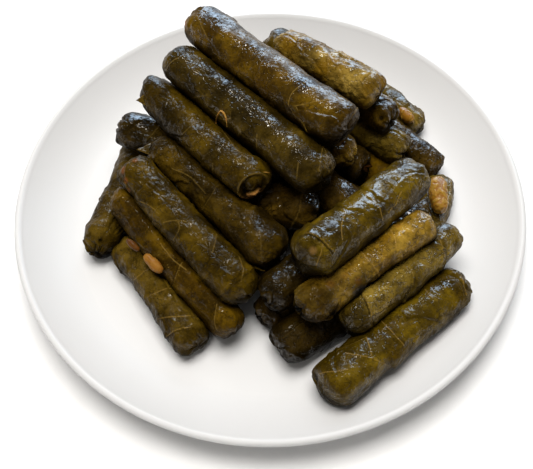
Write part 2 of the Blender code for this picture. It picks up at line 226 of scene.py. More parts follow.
def make_object(name: str, points: Array, quads: Array, triangles: Array) -> Object:
    """Makes a smooth shaded mesh object at the origin.

    Args:
        name: Name of the object.
        points: Places in millimetres, shape (n, 3).
        quads: Four corners of each face, shape (a, 4).
        triangles: Three corners of each face, shape (b, 3).

    Returns:
        The new object.
    """
    mesh = bpy.data.meshes.new(name)
    mesh.vertices.add(len(points))
    mesh.vertices.foreach_set("co", (np.asarray(points, float) * MM).ravel())
    corners = np.concatenate([quads.ravel(), triangles.ravel()]).astype(np.int32)
    totals = np.concatenate([np.full(len(quads), 4), np.full(len(triangles), 3)]).astype(np.int32)
    starts = np.concatenate([[0], np.cumsum(totals)[:-1]]).astype(np.int32)
    mesh.loops.add(len(corners))
    mesh.loops.foreach_set("vertex_index", corners)
    mesh.polygons.add(len(totals))
    mesh.polygons.foreach_set("loop_start", starts)
    mesh.polygons.foreach_set("use_smooth", np.ones(len(totals), bool))
    mesh.update(calc_edges=True)
    mesh.validate()
    obj = bpy.data.objects.new(name, mesh)
    bpy.context.collection.objects.link(obj)
    return obj


def closed_tube(name: str, rings: Array, tips: Array) -> Object:
    """Joins rings of points into a tube and closes each end with a fan to its tip.

    Args:
        name: Name of the object.
        rings: Points, shape (rings, sides, 3), turning anticlockwise seen from the last ring.
        tips: The first and the last tip, shape (2, 3).

    Returns:
        The new object, facing outwards.
    """
    rows, sides = rings.shape[:2]
    index = np.arange(rows * sides).reshape(rows, sides)
    beside = np.roll(index, -1, axis=1)
    quads = np.stack([index[:-1], beside[:-1], beside[1:], index[1:]], -1).reshape(-1, 4)
    count = rows * sides
    first = np.stack([np.full(sides, count), beside[0], index[0]], -1)
    last = np.stack([np.full(sides, count + 1), index[-1], beside[-1]], -1)
    points = np.concatenate([rings.reshape(-1, 3), tips])
    return make_object(name, points, quads, np.concatenate([first, last]))


def set_attributes(obj: Object, values: dict[str, Array]) -> None:
    """Keeps numbers for each vertex under names that a material can read.

    Args:
        obj: The mesh object.
        values: One number for each vertex, by name.
    """
    for name, numbers in values.items():
        attribute = obj.data.attributes.new(name, "FLOAT", "POINT")
        attribute.data.foreach_set("value", np.ascontiguousarray(numbers, np.float32))


def settle(piece: Object, node: str, stands_for: bool = True) -> None:
    """Lets a piece ride on the part and, where it stands for its node, hide the node.

    Args:
        piece: The finished piece.
        node: The CAD node that it is or hangs on.
        stands_for: Whether it takes the node's place.
    """
    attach(piece, "root")
    if stands_for:
        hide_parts(node)
    LOG.info("%s: %d faces", piece.name, len(piece.data.polygons))


# The camera.

@dataclass(frozen=True)
class PhotoCamera:
    """The viewpoint of the photograph: lengths in millimetres, angles in degrees."""

    lens: float = 65.0
    sensor: float = 36.0
    distance: float = 471.4
    elevation: float = 59.01
    roll: float = -1.957
    across: float = -1.86
    lift: float = -6.11
    width: int = 533
    height: int = 469

    def axes(self) -> tuple[Array, Array, Array, Array]:
        """Works out the right, up and back directions and the camera's place.

        Returns:
            Three unit vectors and a point.
        """
        rise = math.radians(self.elevation)
        turn = math.radians(self.roll)
        back = np.array([0.0, -math.cos(rise), math.sin(rise)])
        level = np.array([1.0, 0.0, 0.0])
        above = np.cross(back, level)
        right = math.cos(turn) * level + math.sin(turn) * above
        top = math.cos(turn) * above - math.sin(turn) * level
        return right, top, back, back * self.distance + self.across * level + self.lift * above

    def pixels(self, points: Array) -> Array:
        """Pixels of the photograph at which points are seen.

        Args:
            points: Places in millimetres, shape (..., 3).

        Returns:
            Column and row of each, shape (..., 2).
        """
        right, top, back, place = self.axes()
        away = points - place
        depth = -(away @ back)
        focal = self.lens / self.sensor * self.width
        return np.stack([self.width / 2 + focal * (away @ right) / depth,
                         self.height / 2 - focal * (away @ top) / depth], -1)

    def points_beside(self, pixels: Array, likes: Array) -> Array:
        """Points seen at pixels of the photograph, each as deep in the view as a given point.

        Args:
            pixels: Columns and rows, shape (n, 2).
            likes: Points that give the depths, shape (n, 3) or (3,).

        Returns:
            Places in millimetres, shape (n, 3).
        """
        right, top, back, place = self.axes()
        depth = np.broadcast_to((place - likes) @ back, len(pixels))[:, None]
        focal = self.lens / self.sensor * self.width
        across = (pixels[:, :1] - self.width / 2) / focal * right
        rise = (self.height / 2 - pixels[:, 1:]) / focal * top
        return place + depth * (across + rise - back)

    def build(self) -> Object:
        """Makes the camera and looks through it.

        Returns:
            The camera object.
        """
        right, top, back, place = self.axes()
        data = bpy.data.cameras.new("photo_camera")
        data.lens = self.lens
        data.sensor_width = self.sensor
        data.clip_start = 0.01
        data.clip_end = 20.0
        data.dof.use_dof = False
        camera = bpy.data.objects.new("photo_camera", data)
        turn = Matrix(np.stack([right, top, back], 1).tolist()).to_4x4()
        camera.matrix_world = Matrix.Translation((place * MM).tolist()) @ turn
        bpy.context.collection.objects.link(camera)
        bpy.context.scene.camera = camera
        return camera


CAMERA = PhotoCamera()


# Shader groups.

class Nodes:
    """Adds nodes to a node tree and links them in short lines.

    A Mix node for colours has its share and two colours at MIX_INPUTS, and its result
    at MIX_OUTPUT. The other three numbers only lay the nodes out in rows.
    """

    MIX_INPUTS = (0, 6, 7)
    MIX_OUTPUT = 2
    ROW = 12
    WIDE = 180
    HIGH = 220
    def __init__(self, tree: bpy.types.NodeTree) -> None:
        """Keeps the tree."""
        self.tree = tree
        self.count = 0

    def add(self, kind: str, **settings: object) -> bpy.types.Node:
        """Adds one node.

        Args:
            kind: Blender's name of the node type.
            settings: Values of the node's own properties.

        Returns:
            The new node.
        """
        node = self.tree.nodes.new(kind)
        for key, value in settings.items():
            setattr(node, key, value)
        self.count += 1
        node.location = (self.WIDE * (self.count % self.ROW), -self.HIGH * (self.count // self.ROW))
        return node

    def feed(self, socket: Socket, value: object) -> None:
        """Links a socket to an output, or gives it a plain value.

        Args:
            socket: Input of a node.
            value: An output, a number, a vector or a colour of three parts.
        """
        if isinstance(value, Socket):
            self.tree.links.new(value, socket)
        elif isinstance(value, tuple) and len(value) == 3 and socket.type == "RGBA":
            socket.default_value = (*value, 1.0)
        else:
            socket.default_value = value

    def maths(self, what: str, first: object, second: object) -> Socket:
        """Works out a sum, a product or the like.

        Args:
            what: Blender's name of the operation.
            first: Its first value.
            second: Its second value.

        Returns:
            The result.
        """
        node = self.add("ShaderNodeMath", operation=what)
        self.feed(node.inputs[0], first)
        self.feed(node.inputs[1], second)
        return node.outputs[0]

    def ease(self, value: object, low: float, high: float, to_low: float = 0.0,
             to_high: float = 1.0) -> Socket:
        """A smooth step.

        Args:
            value: What is eased.
            low: Where the result is to_low.
            high: Where the result is to_high.
            to_low: Result at low and beyond it.
            to_high: Result at high and beyond it.

        Returns:
            The eased value.
        """
        node = self.add("ShaderNodeMapRange", interpolation_type="SMOOTHSTEP")
        for socket, given in zip(node.inputs, (value, low, high, to_low, to_high)):
            self.feed(socket, given)
        return node.outputs[0]

    def mix(self, share: object, first: object, second: object) -> Socket:
        """A colour between two.

        Args:
            share: 0 for the first colour and 1 for the second.
            first: First colour.
            second: Second colour.

        Returns:
            The mixed colour.
        """
        node = self.add("ShaderNodeMix", data_type="RGBA")
        for number, given in zip(self.MIX_INPUTS, (share, first, second)):
            self.feed(node.inputs[number], given)
        return node.outputs[self.MIX_OUTPUT]

    def cloud(self, place: object, scale: float, detail: float = 3.0,
              rough: float = 0.55) -> Socket:
        """A cloudy pattern.

        Args:
            place: Where the pattern is read.
            scale: How many clouds there are in a millimetre.
            detail: How many finer layers there are.
            rough: How strong they are.

        Returns:
            A value from 0 to 1.
        """
        node = self.add("ShaderNodeTexNoise")
        for name, given in (("Vector", place), ("Scale", scale), ("Detail", detail),
                            ("Roughness", rough)):
            self.feed(node.inputs[name], given)
        return node.outputs[0]

    def cells(self, feature: str, place: object, scale: float,
              smoothness: float = 1.0) -> Socket:
        """Distances in a pattern of cells.

        Args:
            feature: Blender's name of the distance.
            place: Where the pattern is read.
            scale: How many cells there are in a millimetre.
            smoothness: How round the borders are, where the feature is a smooth one.

        Returns:
            The distance in cells.
        """
        node = self.add("ShaderNodeTexVoronoi", feature=feature)
        self.feed(node.inputs["Vector"], place)
        self.feed(node.inputs["Scale"], scale)
        if feature == "SMOOTH_F1":
            self.feed(node.inputs["Smoothness"], smoothness)
        return node.outputs["Distance"]

    def bump(self, height: object, strength: float, distance: float) -> Socket:
        """The normal of a surface that a pattern raises.

        Args:
            height: The pattern.
            strength: Share of the effect.
            distance: Height in metres that a value of 1 stands for.

        Returns:
            The normal.
        """
        node = self.add("ShaderNodeBump")
        for name, given in (("Height", height), ("Strength", strength), ("Distance", distance)):
            self.feed(node.inputs[name], given)
        return node.outputs[0]

    def number(self, name: str) -> Socket:
        """A vertex attribute's value."""
        return self.add("ShaderNodeAttribute", attribute_name=name).outputs["Fac"]

    def use(self, group: bpy.types.NodeTree, **inputs: object) -> bpy.types.Node:
        """Places a group and gives it its values.

        Args:
            group: The node group.
            inputs: Values or outputs by socket name, with _ for a space.

        Returns:
            The group node.
        """
        node = self.add("ShaderNodeGroup", node_tree=group)
        for key, value in inputs.items():
            self.feed(node.inputs[key.replace("_", " ")], value)
        return node


def new_group(name: str, inputs: dict[str, str], outputs: dict[str, str]
              ) -> tuple[bpy.types.NodeTree, Nodes, bpy.types.Node, bpy.types.Node]:
    """Starts a shader group with named sockets.

    Args:
        name: Name of the group.
        inputs: Kind of each input socket by name.
        outputs: Kind of each output socket by name.

    Returns:
        The group, its node maker, its input node and its output node.
    """
    group = bpy.data.node_groups.new(name, "ShaderNodeTree")
    for label, kind in inputs.items():
        group.interface.new_socket(name=label, in_out="INPUT", socket_type="NodeSocket" + kind)
    for label, kind in outputs.items():
        group.interface.new_socket(name=label, in_out="OUTPUT", socket_type="NodeSocket" + kind)
    made = Nodes(group)
    return group, made, made.add("NodeGroupInput"), made.add("NodeGroupOutput")


@functools.cache
def blotch_group() -> bpy.types.NodeTree:
    """Colour of a cooked leaf: broad patches, fine mottling and a pale mesh of small veins.

    Each layer mixes a colour in where its pattern goes from the first value to the second. The grey
    cloudy patches are painted sheen, a haze of reflected light, and the grey also tints the fine mesh
    of veins.

    Returns:
        A group with Place, four colours and the amount of grey painted sheen in, Color out.
    """
    group, made, given, out = new_group(
        "leaf_blotches",
        {"Place": "Vector", "Deep": "Color", "Middle": "Color", "Bright": "Color",
         "Grey": "Color", "Wax": "Float"}, {"Color": "Color"})
    place = given.outputs["Place"]
    broad = made.cloud(place, 0.085, 2.0, 0.5)
    patch = made.cloud(place, 0.22, 5.0, 0.6)
    stains = made.cloud(place, 0.065, 1.0, 0.4)
    grain = made.cloud(place, 0.9, 4.0, 0.7)
    # Painted sheen: grey cloudy patches that stand for a haze of reflected light.
    greyed = made.maths("ADD", made.cloud(place, 0.11, 3.0, 0.5), given.outputs["Wax"])
    fine_veins = made.cells("DISTANCE_TO_EDGE", place, 0.62)
    colour = given.outputs["Middle"]
    for pattern, start, full, share, name in (
            (broad, 0.36, 0.66, 1.0, "Bright"), (patch, 0.60, 0.34, 0.55, "Deep"),
            (stains, 0.50, 0.34, 0.65, "Deep"), (grain, 0.47, 0.28, 0.60, "Deep"),
            (grain, 0.53, 0.72, 0.45, "Bright"), (greyed, 0.55, 0.95, 0.5, "Grey"),
            (fine_veins, 0.07, 0.0, 0.16, "Grey")):
        colour = made.mix(made.ease(pattern, start, full, 0.0, share), colour, given.outputs[name])
    made.feed(out.inputs["Color"], colour)
    return group


@dataclass(frozen=True)
class Marks:
    """Small marks at the cells of a pattern, kept only where a slow cloud is thick.

    Scales are in patterns per millimetre. A mark goes from 0 to 1 between the two
    distances of its edge, and the cloud lets it through between the two of its gate.
    """

    feature: str
    scale: float
    edge: Span
    cloud: float
    gate: Span
    height: float

    def pattern(self, made: Nodes, cells_place: object, place: object) -> Socket:
        """Places the marks.

        Args:
            made: Node maker of the group.
            cells_place: Where the cells are read.
            place: Where the cloud is read.

        Returns:
            1 on a mark and 0 beside it.
        """
        mark = made.ease(made.cells(self.feature, cells_place, self.scale), *self.edge)
        return made.maths("MULTIPLY", mark, made.ease(made.cloud(place, self.cloud, 2.0), *self.gate))


PITS = Marks("F1", 0.55, (0.30, 0.12), 0.3, (0.52, 0.66), -0.5)
CRACKS = Marks("DISTANCE_TO_EDGE", 0.28, (0.07, 0.0), 0.13, (0.46, 0.60), -0.7)
BEADS = Marks("F1", 0.7, (0.42, 0.05), 0.4, (0.48, 0.57), 1.3)
CRACK_SHADE = 0.8
WANDER_SCALE = 0.35
WANDER = (2.5, 2.5, 2.5)


@functools.cache
def crinkle_group() -> bpy.types.NodeTree:
    """Height of a leaf's small crinkles, cracks, pits and drops of oil.

    The height is the sum of each pattern times its share. Most patterns are read at places
    that a slow noise moves about, so that no cell is straight. The pits and the cracks also
    give a mask of painted shade.

    Returns:
        A group with Place in, and Height, the painted shade of pits and cracks, and Beads out.
    """
    group, made, given, out = new_group(
        "leaf_crinkles", {"Place": "Vector"},
        {"Height": "Float", "PitShade": "Float", "Beads": "Float"})
    place = given.outputs["Place"]
    wander = made.add("ShaderNodeTexNoise")
    made.feed(wander.inputs["Vector"], place)
    made.feed(wander.inputs["Scale"], WANDER_SCALE)
    moved = made.add("ShaderNodeVectorMath", operation="MULTIPLY_ADD")
    for socket, value in zip(moved.inputs, (wander.outputs["Color"], WANDER, place)):
        made.feed(socket, value)
    bent = moved.outputs[0]
    pits = PITS.pattern(made, place, place)
    cracks = CRACKS.pattern(made, bent, place)
    beads = BEADS.pattern(made, place, place)
    total = made.maths("MULTIPLY", made.cells("SMOOTH_F1", bent, 0.42, 0.25), -0.9)
    for pattern, share in ((made.cloud(bent, 0.22, 2.0), 1.5), (made.cloud(bent, 0.75, 1.0), 0.26),
                           (pits, PITS.height), (cracks, CRACKS.height), (beads, BEADS.height)):
        total = made.maths("ADD", total, made.maths("MULTIPLY", pattern, share))
    # Painted shade in the pits and the cracks.
    dark = made.maths("MAXIMUM", pits, made.maths("MULTIPLY", cracks, CRACK_SHADE))
    for name, value in (("Height", total), ("PitShade", dark), ("Beads", beads)):
        made.feed(out.inputs[name], value)
    return group


@functools.cache
def oil_group() -> bpy.types.NodeTree:
    """Where the oily film is thick, and how rough the leaf is between.

    Each output goes from its dry to its wet value with the share of a cloudy pattern.

    Returns:
        A group with Place, Low, High, Dry and Wet in, Coat and Roughness out.
    """
    group, made, given, out = new_group(
        "oil_film", {"Place": "Vector", "Low": "Float", "High": "Float", "Dry": "Float",
                     "Wet": "Float"}, {"Coat": "Float", "Roughness": "Float"})
    place = given.outputs["Place"]
    pools = made.maths("ADD", made.maths("MULTIPLY", made.cloud(place, 0.17), 0.6),
                       made.maths("MULTIPLY", made.cloud(place, 0.9), 0.4))
    wet = made.ease(pools, 0.40, 0.60)
    for name, low, high in (("Coat", "Low", "High"), ("Roughness", "Dry", "Wet")):
        span = made.maths("SUBTRACT", given.outputs[high], given.outputs[low])
        value = made.maths("ADD", made.maths("MULTIPLY", wet, span), given.outputs[low])
        made.feed(out.inputs[name], value)
    return group


def millimetre_place(made: Nodes, shift: Colour) -> Socket:
    """Object coordinates in millimetres, moved so that no two pieces share a pattern.

    Args:
        made: Node maker of the material.
        shift: How far the pattern is moved.

    Returns:
        The place of each point.
    """
    place = made.add("ShaderNodeMapping")
    made.feed(place.inputs["Vector"], made.add("ShaderNodeTexCoord").outputs["Object"])
    place.inputs["Location"].default_value = shift
    place.inputs["Scale"].default_value = (1 / MM, 1 / MM, 1 / MM)
    return place.outputs[0]


def new_material(name: str) -> tuple[Material, Nodes, bpy.types.Node]:
    """Starts a material.

    Args:
        name: Name of the material.

    Returns:
        The material, its node maker and its Principled shader.
    """
    material = bpy.data.materials.new(name)
    material.use_nodes = True
    return material, Nodes(material.node_tree), material.node_tree.nodes["Principled BSDF"]


def set_plain(shader: bpy.types.Node, values: dict[str, object]) -> None:
    """Sets the shader's own values, which are the same all over a surface."""
    for name, value in values.items():
        shader.inputs[name].default_value = value


@dataclass(frozen=True)
class LeafFinish:
    """Colours and gloss of one cooked leaf."""

    deep: Colour
    middle: Colour
    bright: Colour
    # Grey of the painted sheen patches, which also tints the fine mesh of veins.
    grey: Colour = (0.050, 0.036, 0.012)
    vein: Colour = (0.230, 0.140, 0.030)
    stain: Colour = (0.300, 0.105, 0.014)
    # How much of the leaf the grey painted sheen covers.
    sheen_haze: float = 0.0
    dry: float = 0.50
    wet: float = 0.32
    coat_low: float = 0.16
    coat_high: float = 1.0
    coat_roughness: float = 0.045
    coat_ior: float = 1.5
    specular: float = 0.06
    crinkle: float = 0.6
    crinkle_depth: float = 0.7 * MM
    # Painted shade in creases, pits and cracks: this share of the deep colour.
    crease_share: float = 0.3

    def material(self, name: str, seed: int, gloss: float = 1.0) -> Material:
        """Builds the material of one roll.

        Args:
            name: Name of the material.
            seed: Moves the patterns.
            gloss: How oily the leaf is between its drops, 1 at most.

        Returns:
            The material.
        """
        material, made, shader = new_material(name)
        place = millimetre_place(made, (37.0 * seed, 11.0 * seed, 5.0 * seed))
        crinkles = made.use(crinkle_group(), Place=place)
        vein = made.ease(made.number("vein"), 1.3, 0.3, 0.0, 0.6)
        film = made.use(oil_group(), Place=place, Low=self.coat_low, High=self.coat_high,
                        Dry=self.dry, Wet=self.wet)
        made.feed(shader.inputs["Base Color"],
                  self.colour(made, place, vein, crinkles.outputs["PitShade"]))
        made.feed(shader.inputs["Roughness"], film.outputs["Roughness"])
        coat = self.oiled(made, film.outputs["Coat"], crinkles.outputs["Beads"], gloss)
        made.feed(shader.inputs["Coat Weight"], coat)
        height = made.maths("ADD", crinkles.outputs["Height"], made.maths("MULTIPLY", vein, 0.3))
        normal = made.bump(height, self.crinkle, self.crinkle_depth)
        made.feed(shader.inputs["Normal"], normal)
        made.feed(shader.inputs["Coat Normal"], normal)
        set_plain(shader, {"Specular IOR Level": self.specular, "Coat IOR": self.coat_ior,
                           "Coat Roughness": self.coat_roughness})
        return material

    def colour(self, made: Nodes, place: object, vein: object,
               pits: object) -> Socket:
        """Base colour: blotches, with stains, veins, pale rims and painted shade in creases, pits and
        cracks over them.

        Args:
            made: Node maker of the material.
            place: Where the patterns are read.
            vein: 1 on a vein.
            pits: 1 in a pit or a crack, which gets painted shade.

        Returns:
            The colour, made lighter or darker by the layer value: tones of leaf layers and spots, and
            painted shade where the leaf faces down.
        """
        colour = made.use(blotch_group(), Place=place, Deep=self.deep, Middle=self.middle,
                          Bright=self.bright, Grey=self.grey, Wax=self.sheen_haze).outputs[0]
        stain = made.ease(made.number("stain"), 0.1, 0.9, 0.0, 0.85)
        rim = made.ease(made.number("rim"), 0.3, 1.0, 0.0, 0.6)
        # Painted shade: creases, pits and cracks are mixed towards a dark share of the deep colour.
        crease_shade = made.ease(made.number("crease_shade"), 0.1, 1.0, 0.0, 0.9)
        crease_shade = made.maths("MAXIMUM", crease_shade, made.maths("MULTIPLY", pits, 0.6))
        shade = tuple(self.crease_share * part for part in self.deep)
        for share, paint in ((stain, self.stain), (vein, self.vein), (rim, self.vein),
                             (crease_shade, shade)):
            colour = made.mix(share, colour, paint)
        # The layer value: tones of leaf layers and spots, and painted shade on the undersides.
        tone = made.add("ShaderNodeHueSaturation")
        made.feed(tone.inputs["Value"], made.maths("ADD", 1.0, made.number("layer")))
        made.feed(tone.inputs["Color"], colour)
        return tone.outputs[0]

    def oiled(self, made: Nodes, coat: object, beads: object,
              gloss: float) -> Socket:
        """Weight of the oil: less where the leaf is seen edge on, and full on the drops.

        Args:
            made: Node maker of the material.
            coat: Where the film is thick.
            beads: 1 on a drop of oil.
            gloss: How oily the leaf is between its drops.

        Returns:
            The coat's weight.
        """
        edge_on = made.ease(made.add("ShaderNodeLayerWeight").outputs["Facing"], 0.3, 0.9, 1.0, 0.12)
        oiled = made.maths("MULTIPLY", coat, made.number("oil"))
        oiled = made.maths("MULTIPLY", oiled, made.maths("MAXIMUM", gloss, beads))
        return made.maths("MULTIPLY", oiled, edge_on)


OLIVE = LeafFinish((0.010, 0.005, 0.0002), (0.048, 0.024, 0.0005), (0.130, 0.070, 0.002),
                   vein=(0.200, 0.125, 0.025), crinkle=0.38)
GREEN = LeafFinish((0.008, 0.0045, 0.0002), (0.036, 0.0200, 0.0005), (0.095, 0.055, 0.002),
                   vein=(0.160, 0.100, 0.020), stain=(0.170, 0.055, 0.007), crinkle=0.5)
FRESH = LeafFinish((0.012, 0.007, 0.0002), (0.062, 0.036, 0.0006), (0.150, 0.094, 0.003),
                   stain=(0.230, 0.125, 0.040), crinkle=0.38)
YELLOW = LeafFinish((0.030, 0.014, 0.0004), (0.175, 0.092, 0.004), (0.370, 0.225, 0.028),
                    vein=(0.330, 0.200, 0.045))
GOLD = LeafFinish((0.030, 0.014, 0.0003), (0.200, 0.106, 0.005), (0.380, 0.245, 0.042),
                  crinkle=0.5)
DARK = LeafFinish((0.004, 0.002, 0.0002), (0.022, 0.012, 0.0004), (0.064, 0.036, 0.002),
                  vein=(0.110, 0.070, 0.014), crinkle=0.5)
BLACK = LeafFinish((0.002, 0.001, 0.0001), (0.011, 0.006, 0.0003), (0.036, 0.020, 0.0015),
                   vein=(0.070, 0.043, 0.009))
BROWN = LeafFinish((0.005, 0.0025, 0.0002), (0.030, 0.0155, 0.001), (0.080, 0.044, 0.004),
                   vein=(0.120, 0.075, 0.015))
KHAKI = LeafFinish((0.016, 0.009, 0.0004), (0.105, 0.063, 0.004), (0.240, 0.158, 0.022))
SLATE = LeafFinish((0.006, 0.0035, 0.0002), (0.034, 0.020, 0.0010), (0.085, 0.051, 0.004),
                   vein=(0.180, 0.115, 0.025), crinkle=0.42)
# Leaves with more of the grey painted sheen.
GREY = LeafFinish((0.010, 0.006, 0.0003), (0.052, 0.029, 0.001), (0.120, 0.072, 0.006),
                  sheen_haze=0.04, crinkle=0.5)
MOUTH = replace(GREEN, stain=(0.900, 0.420, 0.110))


@dataclass(frozen=True)
class FillingFinish:
    """Colours of the rice that shows where a leaf is open."""

    pale: Colour = (0.370, 0.205, 0.030)
    deep: Colour = (0.270, 0.120, 0.010)
    speck: Colour = (0.16, 0.07, 0.01)
    specular: float = 0.2
    coat_roughness: float = 0.14
    glow: float = 0.25
    glow_reach: Colour = (2.0 * MM, 1.0 * MM, 0.4 * MM)
    bump: float = 0.35
    bump_depth: float = 0.4 * MM

    def material(self, name: str, seed: int) -> Material:
        """Builds the material of one piece of filling.

        Args:
            name: Name of the material.
            seed: Moves the pattern.

        Returns:
            The material.
        """
        material, made, shader = new_material(name)
        place = millimetre_place(made, (23.0 * seed, 7.0, 3.0 * seed))
        colour = made.mix(made.ease(made.number("grain"), 0.15, 0.75), self.deep, self.pale)
        patches = made.ease(made.cloud(place, 0.35), 0.55, 0.35, 0.0, 0.5)
        specks = made.ease(made.cloud(place, 1.9, 3.0, 0.7), 0.62, 0.72, 0.0, 0.7)
        colour = made.mix(specks, made.mix(patches, colour, self.deep), self.speck)
        film = made.use(oil_group(), Place=place, Low=0.05, High=0.25, Dry=0.55, Wet=0.35)
        made.feed(shader.inputs["Base Color"], colour)
        made.feed(shader.inputs["Coat Weight"], film.outputs["Coat"])
        made.feed(shader.inputs["Roughness"], film.outputs["Roughness"])
        normal = made.bump(made.cloud(place, 1.4), self.bump, self.bump_depth)
        made.feed(shader.inputs["Normal"], normal)
        set_plain(shader, {"Coat Roughness": self.coat_roughness,
                           "Specular IOR Level": self.specular,
                           "Subsurface Weight": self.glow, "Subsurface Radius": self.glow_reach})
        return material


RICE = FillingFinish()
BEAN = FillingFinish((0.290, 0.130, 0.019), (0.200, 0.074, 0.009))
SCRAP = FillingFinish((0.105, 0.038, 0.005), (0.060, 0.020, 0.002))
THREAD = FillingFinish((0.460, 0.240, 0.050), (0.300, 0.140, 0.025))


@dataclass(frozen=True)
class PorcelainFinish:
    """White glaze with a trace of unevenness."""

    glaze: Colour = (0.775, 0.772, 0.770)
    cooler: Colour = (0.765, 0.764, 0.764)
    polished: float = 0.38
    matt: float = 0.44
    specular: float = 0.18
    bump: float = 0.05
    bump_depth: float = 0.4 * MM

    def material(self, name: str) -> Material:
        """Builds the plate's material.

        Args:
            name: Name of the material.

        Returns:
            The material.
        """
        material, made, shader = new_material(name)
        place = millimetre_place(made, (3.0, 0.0, 0.0))
        colour = made.mix(made.cloud(place, 0.02, 2.0), self.glaze, self.cooler)
        roughness = made.ease(made.cloud(place, 0.05), 0.3, 0.7, self.polished, self.matt)
        made.feed(shader.inputs["Base Color"], colour)
        made.feed(shader.inputs["Roughness"], roughness)
        normal = made.bump(made.cloud(place, 0.12, 2.0), self.bump, self.bump_depth)
        made.feed(shader.inputs["Normal"], normal)
        set_plain(shader, {"Specular IOR Level": self.specular})
        return material


# The rolls.

class End(Enum):
    """How a roll is closed at one end, and how deep its pleats are in millimetres."""

    TUCKED = 0.45
    PLEATED = 1.1
    OPEN = 0.25
    POINTED = 0.4


@dataclass(frozen=True)
class Edge:
    """A visible leaf edge: where it runs in the photograph, and a pixel on the upper leaf."""

    line: tuple[Pixel, ...]
    over: Pixel
    height: float = 0.45
    # Share of painted shade in the groove under the edge.
    shade: float = 0.45


@dataclass(frozen=True)
class Spot:
    """A hollow, corner, stain or tone at a pixel of the photograph, radius in millimetres.

    A negative depth is a corner that stands out. The shade is the share of painted shade
    in a hollow, and the tone makes the leaf lighter or darker by that share.
    """

    at: Pixel
    radius: float
    depth: float = 0.0
    stain: float = 0.0
    tone: float = 0.0
    shade: float = 1.0


@dataclass(frozen=True)
class Mouth:
    """The opening of a roll that isn't tucked in: a rim, a folded tongue and some rice.

    The place is a pixel of the photograph. The rim lies at an angle in radians from the
    opening's middle. Places and sizes inside are shares of the roll's radius, right and up
    in the picture, and depth and heights are in millimetres.
    """

    at: Pixel
    width: float = 1.0
    depth: float = 2.4
    rim: float = 0.90
    rim_height: float = 0.55
    tongue: Span = (0.05, 0.26)
    tongue_size: float = 0.60
    tongue_height: float = 2.2
    rice: Span = (0.05, -0.44)
    rice_shape: Span = (1.5, 0.9)
    rice_size: float = 0.36
    rice_height: float = 2.6


@dataclass(frozen=True)
class RollLook:
    """What is particular to one roll."""

    node: str
    finish: LeafFinish
    ends: tuple[End, End] = (End.TUCKED, End.TUCKED)
    veins: tuple[tuple[Pixel, ...], ...] = ()
    edges: tuple[Edge, ...] = ()
    spots: tuple[Spot, ...] = ()
    mouth: Mouth = Mouth((0.0, 0.0))
    lumps: float = 1.0
    rice: float = 1.0
    creases: float = 1.0
    gloss: float = 1.0
    hidden: bool = False


